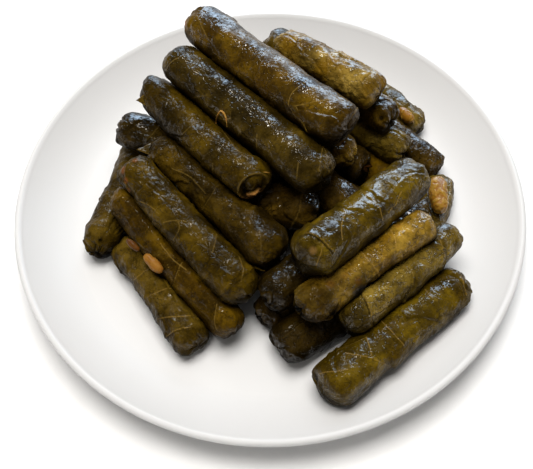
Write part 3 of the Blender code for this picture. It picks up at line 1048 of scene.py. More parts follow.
SEEN = (
    RollLook("roll_top_back", OLIVE, rice=0.55,
             veins=(((194.6, 12.6), (201, 25), (207.4, 38)),
                    ((293, 106.6), (303, 104.5), (312, 102.4), (329, 99)),
                    ((290, 105), (291, 94), (300, 86), (313, 77))),
             edges=(Edge(((288, 103), (297, 116), (308, 131)), (300, 105), 0.7),
                    Edge(((334, 150), (341, 136), (349, 122), (355, 108)), (330, 125), 0.35)),
             spots=(Spot((181, 23), 3.0, stain=1.0), Spot((189, 31), 1.6, 0.5),
                    Spot((193, 8), 8.0, 2.4, shade=0.0), Spot((329, 147), 5.0, -2.6),
                    Spot((353, 107), 3.0, -1.0))),
    RollLook("roll_top_front", SLATE, rice=0.6,
             veins=(((191, 98), (200, 96.5), (208, 95)), ((257, 135), (256, 149), (260, 163)),
                    ((322, 149), (320.5, 160), (319, 172)), ((298, 163), (297, 179)),
                    ((205, 101), (213, 112), (221, 120), (232, 118))),
             edges=(Edge(((166, 69), (173, 59), (184, 55)), (190, 75), 0.35),
                    Edge(((313, 138), (320, 141), (325, 150), (330, 172)), (300, 150), 0.3)),
             spots=(Spot((325, 192), 4.0, -1.4),)),
    RollLook("roll_open_end", MOUTH, (End.TUCKED, End.OPEN), gloss=0.5,
             veins=(((197, 120), (190, 127), (183, 135)), ((213, 163), (212, 181)),
                    ((222, 131), (234, 147), (248, 160))), mouth=Mouth((255, 189), 0.88)),
    RollLook("roll_slope_dark", DARK, (End.POINTED, End.TUCKED), gloss=0.5,
             veins=(((259, 230), (261, 241), (261, 252), (264, 271)),
                    ((139, 150), (147, 144), (167, 140)), ((172, 168), (190, 176), (205, 193))),
             edges=(Edge(((216, 186), (205, 205), (200, 221)), (235, 215), 0.35),
                    Edge(((139, 151), (148, 158), (157, 163)), (160, 150), 0.5))),
    RollLook("roll_slope_green", GREEN, gloss=0.4,
             veins=(((164, 222), (177, 220), (185, 221)), ((177, 220), (181, 227), (174, 240)),
                    ((217, 234), (215, 243), (212, 252)), ((239, 256), (244, 270), (241, 282)),
                    ((140, 200), (152, 206), (160, 214))),
             edges=(Edge(((145, 161), (134, 160), (126, 165), (125, 180), (130, 192)),
                         (150, 180), 0.6),),
             spots=(Spot((127, 163), 2.2, 0.3, 1.0), Spot((124, 170), 2.0, stain=1.0),
                    Spot((126, 180), 1.7, stain=0.9), Spot((135, 161), 1.7, stain=0.8),
                    Spot((129, 190), 1.4, stain=0.7),
                    Spot((229, 303), 5.0, -1.6), Spot((259, 271), 5.0, 1.6, shade=0.0))),
    RollLook("roll_slope_low", OLIVE, gloss=0.4,
             veins=(((217, 304), (214, 320), (217, 330)), ((160, 243), (171, 258), (186, 270)),
                    ((140, 205), (150, 214))),
             edges=(Edge(((121, 184), (110, 192), (106, 205), (111, 216)), (128, 205), 0.5),
                    Edge(((181, 262), (176, 275), (172, 288)), (190, 285), 0.3)),
             spots=(Spot((132, 244), 2.0, 0.2, 0.5),)),
    RollLook("roll_left_low", GREY, gloss=0.55,
             veins=(((135, 280), (142, 274), (149, 270)), ((147, 320), (170, 317), (190, 316)),
                    ((150, 297), (162, 290), (172, 288))),
             edges=(Edge(((165, 339), (176, 330), (190, 327)), (165, 315), 0.5),)),
    RollLook("roll_left_cross", GREY, (End.PLEATED, End.TUCKED), lumps=1.5, creases=1.6, gloss=0.45,
             spots=(Spot((100, 240), 1.6, 1.2),)),
    RollLook("roll_left_dark", DARK, (End.PLEATED, End.TUCKED), creases=1.4,
             veins=(((147, 140), (153, 134), (158, 128)),)),
    RollLook("roll_middle", BROWN, (End.TUCKED, End.PLEATED), creases=3.0, lumps=1.3,
             edges=(Edge(((302, 194), (299, 212), (290, 228)), (310, 212), 0.5),)),
    RollLook("roll_right_top", FRESH,
             veins=(((342, 186), (352, 188), (362, 191), (373, 199), (380, 209), (382, 220)),
                    ((323, 243), (321, 254), (316, 266)), ((400, 192), (396, 203), (388, 212)),
                    ((346, 211), (341, 226), (343, 240))),
             edges=(Edge(((306, 234), (317, 236), (325, 243), (333, 252)), (335, 235), 0.6, 1.0),),
             spots=(Spot((313, 250), 2.2, stain=0.6), Spot((328, 232), 1.2, 0.5))),
    RollLook("roll_right_yellow", YELLOW, (End.PLEATED, End.TUCKED), gloss=0.75,
             veins=(((364, 257), (373, 266), (379, 275)), ((338, 286), (346, 292), (357, 294)),
                    ((315, 295), (325, 304), (334, 313)), ((391, 231), (396, 240), (396, 248))),
             edges=(Edge(((356, 247), (366, 256), (378, 277)), (350, 262), 0.35),),
             spots=(Spot((358, 280), 2.0, stain=0.6), Spot((398, 226), 2.0, stain=0.4),
                    Spot((309, 301), 11.5, tone=-0.72), Spot((362, 284), 6.0, tone=-0.30),
                    Spot((349, 272), 6.5, tone=0.25),
                    Spot((330, 284), 3.0, stain=0.35), Spot((345, 275), 2.4, stain=0.3))),
    RollLook("roll_right_low", KHAKI, lumps=1.2,
             veins=(((440, 241), (444, 257), (442, 268)), ((400, 262), (408, 270))),
             edges=(Edge(((361, 293), (369, 307), (373, 325)), (385, 300), 0.7, 0.9),),
             spots=(Spot((352, 320), 8.0, tone=-0.45),)),
    RollLook("roll_front", FRESH, gloss=0.8,
             veins=(((381, 321), (392, 332), (403, 345)), ((346, 353), (373, 358), (391, 367)),
                    ((322, 374), (335, 372), (348, 369)), ((460, 277), (464, 286), (465, 295)),
                    ((366, 338), (370, 348), (372, 357)), ((425, 290), (431, 298))),
             edges=(Edge(((336, 354), (346, 347), (366, 338)), (350, 362), 0.5),
                    Edge(((396, 370), (414, 359), (432, 336), (450, 318), (468, 300)),
                         (425, 330), 0.9)),
             spots=(Spot((316, 378), 2.6, 2.2),)),
    RollLook("roll_front_short", BLACK, creases=2.2,
             edges=(Edge(((283, 337), (297, 326), (306, 321)), (300, 335), 0.5),)),
    RollLook("roll_front_pleated", BLACK, (End.PLEATED, End.TUCKED), creases=2.6),
    RollLook("roll_front_under", BROWN, (End.PLEATED, End.TUCKED)),
    RollLook("roll_back_upper", GOLD,
             veins=(((357, 77), (366, 88), (374, 100)), ((328, 59), (329, 70), (328, 84)),
                    ((345, 66), (352, 74))),
             edges=(Edge(((352, 112), (360, 108), (368, 113), (376, 116)), (360, 98), 0.4),)),
    RollLook("roll_back_middle", GREY, lumps=1.2,
             edges=(Edge(((316, 44), (322, 52), (328, 57)), (332, 45), 0.5),)),
    RollLook("roll_back_low", KHAKI, lumps=1.3,
             edges=(Edge(((398, 104), (410, 112), (418, 124)), (404, 112), 0.5),)),
    RollLook("roll_back_blunt", OLIVE, (End.TUCKED, End.PLEATED), creases=1.5,
             spots=(Spot((381, 118), 1.8, 1.6),)),
    RollLook("roll_back_glossy", KHAKI, (End.TUCKED, End.PLEATED), creases=1.3),
    RollLook("roll_back_right", BROWN),
    RollLook("roll_under_top", YELLOW, (End.TUCKED, End.PLEATED), creases=1.5,
             spots=(Spot((343, 144), 1.6, 0.9, 0.8),)),
    RollLook("roll_spiral_end", BROWN, (End.TUCKED, End.OPEN), mouth=Mouth((369, 163), 0.6),
             creases=1.3),
    RollLook("roll_torn", KHAKI, (End.TUCKED, End.POINTED),
             edges=(Edge(((443, 165), (450, 178), (449, 194), (443, 207)), (455, 190), 0.6),)),
)
HIDDEN = {
    "base": (BROWN, OLIVE, GREEN, DARK, BROWN, OLIVE, OLIVE, GREEN),
    "second": (BROWN, DARK, OLIVE, BROWN, GREEN),
    "third": (OLIVE,),
}
LOOKS = SEEN + tuple(RollLook(f"roll_{layer}_{number}", finish, hidden=True)
                     for layer, finishes in HIDDEN.items()
                     for number, finish in enumerate(finishes, 1))


STEP_PIXELS = 1.5
CORNER_SOFTNESS = 2.2
SKIN_SOFTNESS = 1.6


def drawn(pixels: tuple[Pixel, ...]) -> Array:
    """A line of the photograph in short even steps, its corners rounded.

    Args:
        pixels: Columns and rows of its corners.

    Returns:
        Columns and rows, shape (n, 2).
    """
    given = np.array(pixels, float)
    places = np.concatenate([[0.0], np.cumsum(np.linalg.norm(np.diff(given, axis=0), axis=1))])
    steps = np.linspace(0.0, places[-1], max(4, int(places[-1] / STEP_PIXELS) + 1))
    line = np.stack([np.interp(steps, places, given[:, k]) for k in range(2)], 1)
    return softened(line, CORNER_SOFTNESS)


class PlainSolid:
    """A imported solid, read as triangles in millimetres, and the line through its middle."""

    def __init__(self, node: str) -> None:
        """Reads the solid.

        Args:
            node: Name of the CAD node.
        """
        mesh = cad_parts[node].data
        points = np.empty(len(mesh.vertices) * 3)
        mesh.vertices.foreach_get("co", points)
        corners = np.empty(len(mesh.loops), np.int32)
        mesh.loops.foreach_get("vertex_index", corners)
        points = points.reshape(-1, 3) / MM
        self.corners = points[corners].reshape(-1, 3, 3)
        points = np.unique(np.round(points, 4), axis=0)
        middle = points.mean(0)
        way = np.linalg.svd(points - middle, full_matrices=False)[2][0]
        self.along = way if way[0] > 0 else -way
        self.side = unit(np.cross(self.along, (0.0, 0.0, 1.0)))
        self.up = np.cross(self.side, self.along)
        axes = np.stack([self.along, self.side, self.up])
        local = (points - middle) @ axes.T
        low = local.min(0)
        high = local.max(0)
        shift = (low + high) / 2
        self.middle = middle + shift @ axes
        self.half = (high[0] - low[0]) / 2
        lengths = local[:, 0] - shift[0]
        self.radii = tuple(self.half_width(local[part] - shift)
                           for part in (lengths < 0, lengths >= 0))

    @staticmethod
    def half_width(local: Array) -> float:
        """Mean of the half widths across and upwards."""
        span = local.max(0) - local.min(0)
        return float(span[1] + span[2]) / 4


@dataclass(frozen=True)
class LeafSizes:
    """Sizes of what every leaf has: millimetres, shares, or angles in radians.

    A pair is the range that a random size is drawn from, or that something eases over.
    """

    lump_cell: float = 13.0
    lump_height: float = 0.50
    knob_cell: float = 6.0
    knob_height: float = 0.42
    rice_per_mm: float = 1.9
    rice_extra: int = 40
    rice_height: float = 0.8
    rice_patch: float = 9.0
    rice_length: Span = (1.7, 2.9)
    rice_width: Span = (0.75, 1.15)
    rice_depth: float = 2.5
    wrinkle_cell: float = 3.4
    wrinkle_stretch: float = 0.75
    wrinkle_depth: float = 0.30
    wander_cell: float = 7.0
    wander: float = 1.6
    flap_places: tuple[float, ...] = (-0.86, -0.6, -0.25, 0.1, 0.3, 0.62, 0.88)
    flap_opening: Span = (0.15, 0.75)
    flap_height: Span = (0.45, 0.85)
    flap_tone: Span = (-0.32, 0.28)
    flap_radii: Span = (24.0, 16.0)
    flap_rim: float = 0.35
    # Share of painted shade in the groove under a flap's edge.
    flap_crease: float = 0.45
    step_rise: Span = (-0.25, 0.35)
    step_sink: float = 7.0
    groove_place: float = -0.45
    groove_width: float = 0.4
    groove_share: float = 0.15
    rim_place: float = 0.30
    rim_width: float = 0.30
    edge_wobble: float = 0.22
    edge_wobble_cell: float = 1.4
    edge_end: float = 1.2
    edge_light: float = 0.12
    leaves: int = 2
    spine_place: Span = (0.15, 0.85)
    spine_slant: Span = (0.35, 1.1)
    spine_length: float = 52.0
    spine_width: float = 0.24
    rib_step: float = 8.5
    rib_slant: Span = (0.75, 0.95)
    rib_length: Span = (9.0, 17.0)
    rib_width: float = 0.16
    vein_bow: Span = (-0.12, 0.12)
    vein_height: float = 0.18
    vein_width: float = 0.32
    corners: int = 3
    corner_height: Span = (0.5, 1.3)
    corner_width: float = 0.55
    swirl: Span = (-0.8, 0.8)
    pleats: tuple[int, int] = (4, 7)
    pleat_power: int = 9
    pleat_shade: float = 0.8
    minor_ratio: float = 1.7
    minor_power: int = 12
    minor_share: float = 0.5
    tuck_depth: float = 1.5


LEAF = LeafSizes()


@dataclass(frozen=True)
class Flap:
    """A corner of leaf that lies on a roll, between two tilted planes."""

    corner: Array
    planes: tuple[Array, Array]
    way: Array
    height: float


@dataclass
class Relief:
    """What the details do at each point of a skin.

    The lift is in millimetres and the vein in half widths of the nearest vein. The others
    are masks. The crease mask is painted shade in wrinkles, grooves, pleats, hollows and open
    ends, and the layer is the share by which the leaf is lighter or darker: tones of leaf
    layers and spots, and painted shade where the leaf faces down.
    """

    lift: Array
    crease_shade: Array
    rim: Array
    stain: Array
    layer: Array
    vein: Array

    def add(self, lift: Array, crease_shade: Array, rim: Array) -> None:
        """Adds a lift, and keeps the stronger painted shade and rim of the old and the new.

        Args:
            lift: How far the points are raised.
            crease_shade: Where it is dark.
            rim: Where it is pale.
        """
        self.lift += lift
        self.crease_shade = np.maximum(self.crease_shade, crease_shade)
        self.rim = np.maximum(self.rim, rim)


def step_over(distance: Array, height: float, fade: Array) -> tuple[Array, Array, Array]:
    """Profile across a leaf edge: steep on the open side, sinking slowly on the other.

    The lift is an eased step times a falling exponential, less a bell just outside it.
    The groove and the rim are bells on either side of the edge, and the groove is painted shade under
    the edge.

    Args:
        distance: Signed distance from the edge, positive on the upper leaf.
        height: Height of the step.
        fade: Share of the step at each point.

    Returns:
        Lift, groove of painted shade under the edge, and pale rim.
    """
    rise = smooth(distance, *LEAF.step_rise) * np.exp(-np.maximum(distance, 0) / LEAF.step_sink)
    groove = np.exp(-((distance - LEAF.groove_place) / LEAF.groove_width) ** 2)
    rim = np.exp(-((distance - LEAF.rim_place) / LEAF.rim_width) ** 2)
    lift = (rise * height - LEAF.groove_share * height * groove) * fade
    return lift, groove * fade, rim * fade


class RollSurface:
    """The fine skin of one roll.

    A point of the skin lies at a distance from a straight middle line. Along the
    middle the rays stand square to the line, and round each end they lean over
    until they point along it. A ray that finds nothing, or something nearer than
    NEAREST, takes the middle one of the distances.
    """

    END_SHARE = 0.8
    CAP_LENGTH = 1.35
    CAP_REACH = 0.985
    ROWS = 56
    SIDES = 48
    BLUR = math.radians(8.0)
    NEAREST = 1.0
    # Share by which the leaf is darkened where it faces down: painted shade.
    SHADOW = 0.75
    CEILING = CAD_BOX[1][2] / MM
    UNSEEN = 1e6

    def __init__(self, look: RollLook, seed: int, pitch: float) -> None:
        """Works out the plain surface: the solid's distances, blurred along and around.

        Args:
            look: What is particular to the roll.
            seed: Picks its random details.
            pitch: Spacing of the skin's points.
        """
        self.look = look
        self.seed = seed
        self.random = np.random.default_rng(seed)
        self.solid = PlainSolid(look.node)
        first, last = self.solid.radii
        self.body = 2 * self.solid.half - self.END_SHARE * (first + last)
        self.caps = (self.CAP_LENGTH * first, self.CAP_LENGTH * last)
        coarse = self.places(self.ROWS)
        turns = full_turn(self.SIDES)
        starts, ways = self.rays(coarse, turns)
        reach = ray_lengths(starts.reshape(-1, 3), ways.reshape(-1, 3), self.solid.corners)
        reach = reach.reshape(self.ROWS, self.SIDES)
        reach = np.where(reach < self.NEAREST, np.median(reach), reach)
        self.along = self.places(int((self.body + sum(self.caps)) / pitch))
        self.turns = full_turn(int(2 * math.pi * max(first, last) / pitch / 4) * 4)
        weight = np.exp(-((self.along[:, None] - coarse) / (coarse[1] - coarse[0])) ** 2 / 2)
        apart = np.angle(np.exp(1j * (self.turns[:, None] - turns)))
        around = np.exp(-(apart / self.BLUR) ** 2 / 2)
        weight /= weight.sum(1, keepdims=True)
        around /= around.sum(1, keepdims=True)
        starts, ways = self.rays(self.along, self.turns)
        self.shape = (len(self.along), len(self.turns))
        self.normals = ways.reshape(-1, 3)
        self.flat = (starts + ways * (weight @ reach @ around.T)[..., None]).reshape(-1, 3)

    def places(self, count: int) -> Array:
        """Even places along the roll, from close to one tip to close to the other."""
        return np.linspace(-self.caps[0] * self.CAP_REACH,
                           self.body + self.caps[1] * self.CAP_REACH, count)

    def leans(self, along: Array) -> Array:
        """Angle by which the rays lean: a quarter turn times the share of the cap.

        Args:
            along: Places along the roll.

        Returns:
            Angles, negative at the first end.
        """
        low = np.minimum(along, 0.0) / self.caps[0]
        high = np.maximum(along - self.body, 0.0) / self.caps[1]
        return (low + high) * math.pi / 2

    def rays(self, along: Array, turns: Array) -> tuple[Array, Array]:
        """Start and direction of the ray for each place along and around.

        Args:
            along: Places along the roll, negative or past the body on the ends.
            turns: Angles around, 0 sideways and a quarter turn upwards.

        Returns:
            Two arrays of shape (along, around, 3).
        """
        solid = self.solid
        lean = self.leans(along)[:, None, None]
        place = np.clip(along, 0.0, self.body)[:, None, None]
        corner = solid.middle - solid.along * (solid.half - self.END_SHARE * solid.radii[0])
        ways = np.cos(lean) * spokes(turns, solid.side, solid.up) + np.sin(lean) * solid.along
        return np.broadcast_to(corner + place * solid.along, ways.shape), ways

    def at(self, along: Array, turns: Array) -> Array:
        """Points of the plain surface between the grid's points, by blending four neighbours.

        Args:
            along: Places along the roll, shape (n,).
            turns: Angles around, shape (n,).

        Returns:
            Points, shape (n, 3).
        """
        rows, sides = self.shape
        grid = self.flat.reshape(rows, sides, 3)
        row = np.interp(along, self.along, np.arange(rows))
        side = np.mod(turns, 2 * math.pi) / (2 * math.pi) * sides
        low = np.minimum(row.astype(int), rows - 2)
        left = side.astype(int) % sides
        share = (row - low)[:, None]
        turn = (side - np.floor(side))[:, None]
        right = (left + 1) % sides
        near = grid[low, left] * (1 - turn) + grid[low, right] * turn
        far = grid[low + 1, left] * (1 - turn) + grid[low + 1, right] * turn
        return near * (1 - share) + far * share

    def seen_at(self, pixels: tuple[Pixel, ...] | Array) -> Array:
        """Points of the surface, facing the camera, that lie at pixels of the photograph.

        Args:
            pixels: Columns and rows.

        Returns:
            Indices into the flattened grid of points.
        """
        facing = ((CAMERA.axes()[3] - self.flat) * self.normals).sum(1) > 0
        spots = CAMERA.pixels(self.flat)
        apart = np.linalg.norm(spots[None] - np.array(pixels, float)[:, None], axis=2)
        return np.where(facing[None], apart, self.UNSEEN).argmin(1)

    def line_on_skin(self, pixels: tuple[Pixel, ...]) -> Array:
        """A line drawn in the photograph, rounded and laid on the surface."""
        return softened(self.flat[self.seen_at(drawn(pixels))], SKIN_SOFTNESS)

    def rice_bumps(self) -> Array:
        """Soft bumps over grains of rice under the leaf, each a long low mound.

        A mound is the bell of the distances along, across and through the leaf.

        Returns:
            Height from 0 to 1, shape (n,).
        """
        flat = self.flat
        count = int(self.body * LEAF.rice_per_mm) + LEAF.rice_extra
        picks = self.random.integers(0, len(flat), count)
        normals = self.normals[picks]
        first = unit(np.cross(normals, self.random.normal(size=(count, 3))))
        second = np.cross(normals, first)
        sizes = (self.random.uniform(*LEAF.rice_length, count),
                 self.random.uniform(*LEAF.rice_width, count), LEAF.rice_depth)
        total = np.zeros(len(flat))
        for part in range(0, len(flat), POINTS_AT_ONCE):
            rows = flat[part:part + POINTS_AT_ONCE]
            power = sum(((rows @ way.T - (flat[picks] * way).sum(1)) / size) ** 2
                        for way, size in zip((first, second, normals), sizes))
            total[part:part + POINTS_AT_ONCE] = np.exp(-power).max(1)
        return total

    def random_veins(self) -> tuple[Array, Array, Array]:
        """Middle veins of the leaves across the roll, with side veins leaving them at a slant.

        A vein is bowed by a parabola of its share and narrows towards its end.

        Returns:
            Starts and ends of short pieces, and the half width of each.
        """
        random = self.random
        radius = sum(self.solid.radii) / 2
        half = LEAF.spine_length / 2
        starts, ends, widths = [], [], []
        for _ in range(LEAF.leaves):
            middle = random.uniform(*LEAF.spine_place) * self.body
            root = np.array([middle, random.uniform(0, 2 * math.pi) * radius])
            heading = random.uniform(*LEAF.spine_slant) * random.choice((-1, 1))
            way = np.array([math.cos(heading), math.sin(heading)])
            lines = [(root - way * half, way, LEAF.spine_length, LEAF.spine_width)]
            for step in np.arange(4 - half, half - 2, LEAF.rib_step):
                for hand in (-1, 1):
                    bent = heading + hand * random.uniform(*LEAF.rib_slant)
                    foot = root + way * (step + random.uniform(-1, 1))
                    lines.append((foot, np.array([math.cos(bent), math.sin(bent)]),
                                  random.uniform(*LEAF.rib_length), LEAF.rib_width))
            for foot, course, length, width in lines:
                steps = np.linspace(0, 1, int(length / 2) + 2)
                curve = random.uniform(*LEAF.vein_bow) * length * steps * (1 - steps)
                across = np.array([-course[1], course[0]])
                plan = foot + course * (steps * length)[:, None] + across * curve[:, None]
                line = self.at(np.clip(plan[:, 0], -self.caps[0], self.body + self.caps[1]),
                               plan[:, 1] / radius)
                starts.append(line[:-1])
                ends.append(line[1:])
                widths.append(width * (1.15 - 0.7 * steps[:-1]))
        return np.concatenate(starts), np.concatenate(ends), np.concatenate(widths)

    def flaps(self) -> list[Flap]:
        """Random corners of leaf along the roll.

        Returns:
            One flap for each of the places, which are shares of the half length.
        """
        random = self.random
        solid = self.solid
        found = []
        for share in LEAF.flap_places:
            turn = random.uniform(0, 2 * math.pi)
            way = math.cos(turn) * solid.side + math.sin(turn) * solid.up
            radius = solid.radii[int(share > 0)]
            corner = solid.middle + solid.along * solid.half * share + way * radius
            across = np.cross(way, solid.along)
            heading = random.uniform(0, 2 * math.pi)
            opening = random.uniform(*LEAF.flap_opening)
            planes = tuple(math.cos(heading + hand * opening) * solid.along
                           + math.sin(heading + hand * opening) * across for hand in (-1, 1))
            found.append(Flap(corner, planes, way, random.uniform(*LEAF.flap_height)))
        return found

    def end_folds(self) -> tuple[Array, Array, Array, Array]:
        """Corners and pleats that run towards each tip, and the hollow of an open end.

        A pleat is a high power of the cosine of some multiple of the angle around. Painted shade
        darkens the pleats' valleys, the tip of a pleated end and the hollow of an open end.

        Returns:
            Lift, painted shade, pale rim and stain, shape (n,).
        """
        random = self.random
        lean = np.repeat(self.leans(self.along), len(self.turns))
        turns = np.tile(self.turns, len(self.along))
        lift, crease_shade, ring, stain = np.zeros((4, len(self.flat)))
        for hand, kind, radius in zip((-1, 1), self.look.ends, self.solid.radii):
            tilt = np.maximum(hand * lean, 0.0)
            near = smooth(tilt, 0.15, 1.1)
            folds = random.integers(*LEAF.pleats)
            phase = random.uniform(0, 2 * math.pi)
            swirl = random.uniform(*LEAF.swirl)
            angle = turns + swirl * tilt + 0.5 * noise(self.flat, 5.0, self.seed + 31 + hand)
            for _ in range(0 if kind is End.OPEN else LEAF.corners):
                turn = random.uniform(0, 2 * math.pi)
                away = np.abs(np.angle(np.exp(1j * (turns - turn + 0.4 * swirl * tilt))))
                crest = np.clip(1 - away / LEAF.corner_width, 0, 1) ** 1.3
                reach = smooth(tilt, 0.1, 0.6) * smooth(tilt, 1.4, 0.85)
                lift += random.uniform(*LEAF.corner_height) * crest * reach
            valley = np.abs(np.cos(folds * angle / 2 + phase)) ** LEAF.pleat_power
            minor = np.abs(np.cos((folds * LEAF.minor_ratio) * angle / 2 + 2 * phase))
            lift -= kind.value * near * (valley + LEAF.minor_share * minor ** LEAF.minor_power)
            # Painted shade in the valleys of the pleats.
            crease_shade += min(kind.value, 1.0) * near * smooth(valley, 0.5, 1.0) * LEAF.pleat_shade
            if kind is End.OPEN:
                hollow, dark, pale, stained = self.opening(hand, radius)
                lift += hollow
                crease_shade = np.maximum(crease_shade, dark)
                ring += pale
                stain += stained
            if kind is End.PLEATED:
                lift -= LEAF.tuck_depth * smooth(tilt, 1.15, 1.5)
                # Painted shade in the tucked tip.
                crease_shade += smooth(tilt, 1.25, 1.5)
        return lift, np.clip(crease_shade, 0, 1), ring, stain

    def opening(self, hand: int, radius: float) -> tuple[Array, Array, Array, Array]:
        """The mouth of an open end.

        The tongue and the rice are flat-topped bells that fill the hollow in part, and the rest of the
        hollow gets painted shade.

        Args:
            hand: -1 at the first end and 1 at the last.
            radius: Radius of the end.

        Returns:
            Lift, painted shade, pale rim and stain, shape (n,).
        """
        solid = self.solid
        mouth = self.look.mouth
        centre = solid.middle + hand * solid.along * (solid.half - self.END_SHARE * radius)
        facing = unit(self.flat[self.seen_at((mouth.at,))[0]] - centre)
        out = self.flat - centre
        turned = np.arccos(np.clip(unit(out) @ facing, -1, 1)) / mouth.width
        right, top = CAMERA.axes()[:2]
        level = unit(right - (right @ facing) * facing)
        above = unit(np.cross(facing, level))
        above = above if above @ top > 0 else -above
        plane = np.stack([out @ level, out @ above], -1) / radius / mouth.width
        inside = smooth(turned, mouth.rim - 0.04, mouth.rim - 0.16)
        tongue = np.linalg.norm(plane - mouth.tongue, axis=1) / mouth.tongue_size
        rice = np.linalg.norm((plane - mouth.rice) / mouth.rice_shape, axis=1) / mouth.rice_size
        tongue, rice = np.exp(-tongue ** 6), np.exp(-rice ** 6)
        lift = inside * (-mouth.depth + mouth.tongue_height * tongue + mouth.rice_height * rice)
        lift += mouth.rim_height * np.exp(-((turned - mouth.rim) / 0.07) ** 2)
        ring = np.exp(-((turned - mouth.rim) / 0.06) ** 2)
        low_rim = 0.75 * ring * smooth(-plane[:, 1], 0.0, 0.5)
        return lift, inside * (1 - np.maximum(tongue, rice)), ring, np.maximum(inside * rice, low_rim)

    def marked_edge(self, edge: Edge) -> tuple[Array, Array, Array]:
        """A leaf edge along a line of the photograph.

        Args:
            edge: The marked edge.

        Returns:
            Lift, groove of painted shade under the edge, and pale rim.
        """
        line = self.line_on_skin(edge.line)
        line = line[np.concatenate([[True], np.linalg.norm(np.diff(line, axis=0), axis=1) > 0.05])]
        apart, piece, share = nearest_on_lines(self.flat, line[:-1], line[1:])
        way = unit(line[1:] - line[:-1])
        first, last = self.normals[self.seen_at((edge.line[0], edge.line[-1]))]
        beside = unit(np.cross(way, first))
        foot = line[:-1][piece] + (line[1:] - line[:-1])[piece] * share[:, None]
        offset = self.flat - foot
        over = self.flat[self.seen_at((edge.over,))[0]]
        nearest = nearest_on_lines(over[None], line[:-1], line[1:])[1][0]
        hand = np.sign((over - line[nearest]) @ beside[nearest]) or 1.0
        signed = hand * np.sign((offset * beside[piece]).sum(1)) * apart
        signed += LEAF.edge_wobble * noise(self.flat, LEAF.edge_wobble_cell, self.seed + 12)
        past = np.abs((offset * way[piece]).sum(1))
        fade = np.exp(-(past / LEAF.edge_end) ** 2)
        fade = fade * smooth(self.normals @ unit(first + last), -0.2, 0.3)
        return step_over(signed, edge.height, fade)

    def start_relief(self) -> Relief:
        """Slow lumps, rice bumps and wrinkles.

        Wrinkles are the crests of a noise that is stretched along the roll and bent by
        another one, and their depth also gives them painted shade. The leaf is darker where
        it faces down: painted shade on its undersides.

        Returns:
            The relief so far.
        """
        flat, look, solid, seed = self.flat, self.look, self.solid, self.seed
        lift = look.lumps * (LEAF.lump_height * noise(flat, LEAF.lump_cell, seed)
                             + LEAF.knob_height * noise(flat, LEAF.knob_cell, seed + 1))
        patches = 0.5 + 0.5 * noise(flat, LEAF.rice_patch, seed + 2)
        lift += look.rice * LEAF.rice_height * self.rice_bumps() * patches
        away = LEAF.wrinkle_stretch * ((flat - solid.middle) @ solid.along)[:, None] * solid.along
        wander = np.stack([noise(flat, LEAF.wander_cell, seed + k) for k in (3, 4, 5)], -1)
        ridge = 1 - np.abs(noise(flat - away + LEAF.wander * wander, LEAF.wrinkle_cell, seed + 6))
        wrinkle = smooth(ridge, 0.86, 1.0) * smooth(noise(flat, 10.0, seed + 7), -0.1, 0.6)
        fold = LEAF.wrinkle_depth * look.creases * wrinkle
        zero = np.zeros(len(flat))
        # Painted shade: darker where the leaf faces down.
        layer = -self.SHADOW * smooth(self.normals[:, 2], 0.55, -0.30)
        # The wrinkles' depth is also their painted shade.
        return Relief(lift - fold, fold, zero, zero.copy(), layer, zero.copy())

    def add_flaps(self, relief: Relief) -> None:
        """Adds the random corners of leaf, each lighter or darker than what it lies on.

        Args:
            relief: What they are added to.
        """
        bend = 1.3 * noise(self.flat, 7.0, self.seed + 9) + 0.3 * noise(self.flat, 1.8, self.seed + 10)
        for flap in self.flaps():
            apart = self.flat - flap.corner
            distance = np.minimum(apart @ flap.planes[0], apart @ flap.planes[1]) + bend
            fade = smooth(self.normals @ flap.way, -0.1, 0.5)
            fade = fade * smooth(np.linalg.norm(apart, axis=1), *LEAF.flap_radii)
            lift, groove, rim = step_over(distance, flap.height, fade)
            # The groove under each flap's edge gets painted shade.
            relief.add(lift, groove * LEAF.flap_crease, rim * LEAF.flap_rim)
            tone = self.random.uniform(*LEAF.flap_tone)
            relief.layer += tone * smooth(distance, -0.3, 0.3) * fade

    def add_veins(self, relief: Relief) -> None:
        """Adds the random veins and those that the photograph shows, each raised by a bell.

        Args:
            relief: What they are added to.
        """
        starts, ends, widths = self.random_veins()
        apart, piece, _ = nearest_on_lines(self.flat, starts, ends)
        vein = apart / widths[piece] / (0.8 + 0.3 * noise(self.flat, 4.0, self.seed + 11)) + 0.35
        for pixels in self.look.veins:
            line = self.line_on_skin(pixels)
            apart = nearest_on_lines(self.flat, line[:-1], line[1:])[0]
            vein = np.minimum(vein, apart / LEAF.vein_width)
        relief.vein = vein
        relief.lift += LEAF.vein_height * np.exp(-vein ** 2)

    def add_spot(self, relief: Relief, spot: Spot) -> None:
        """Adds a hollow, corner, stain or tone, each a bell of the distance.

        Args:
            relief: What it is added to.
            spot: The marked place.
        """
        centre = self.flat[self.seen_at((spot.at,))[0]]
        apart = np.linalg.norm(self.flat - centre, axis=1) / spot.radius
        relief.lift -= spot.depth * np.exp(-apart ** 2 if spot.depth > 0 else -1.5 * apart)
        # Painted shade in the hollow.
        hollow = spot.shade * min(spot.depth, 1.0) * np.exp(-(apart * 1.3) ** 4)
        relief.crease_shade = np.maximum(relief.crease_shade, hollow)
        relief.stain = np.maximum(relief.stain, spot.stain * np.exp(-apart ** 3))
        relief.layer += spot.tone * np.exp(-apart ** 4)

    def relief(self) -> Relief:
        """Adds up every detail over the plain surface.

        Returns:
            The finished relief.
        """
        relief = self.start_relief()
        self.add_flaps(relief)
        for edge in self.look.edges:
            lift, groove, rim = self.marked_edge(edge)
            relief.add(lift, groove * edge.shade, rim)
            relief.layer += LEAF.edge_light * smooth(lift, 0.0, 0.4 * edge.height)
        self.add_veins(relief)
        lift, crease_shade, ring, stain = self.end_folds()
        relief.add(lift, crease_shade, ring)
        relief.stain += stain
        for spot in self.look.spots:
            self.add_spot(relief, spot)
        return relief

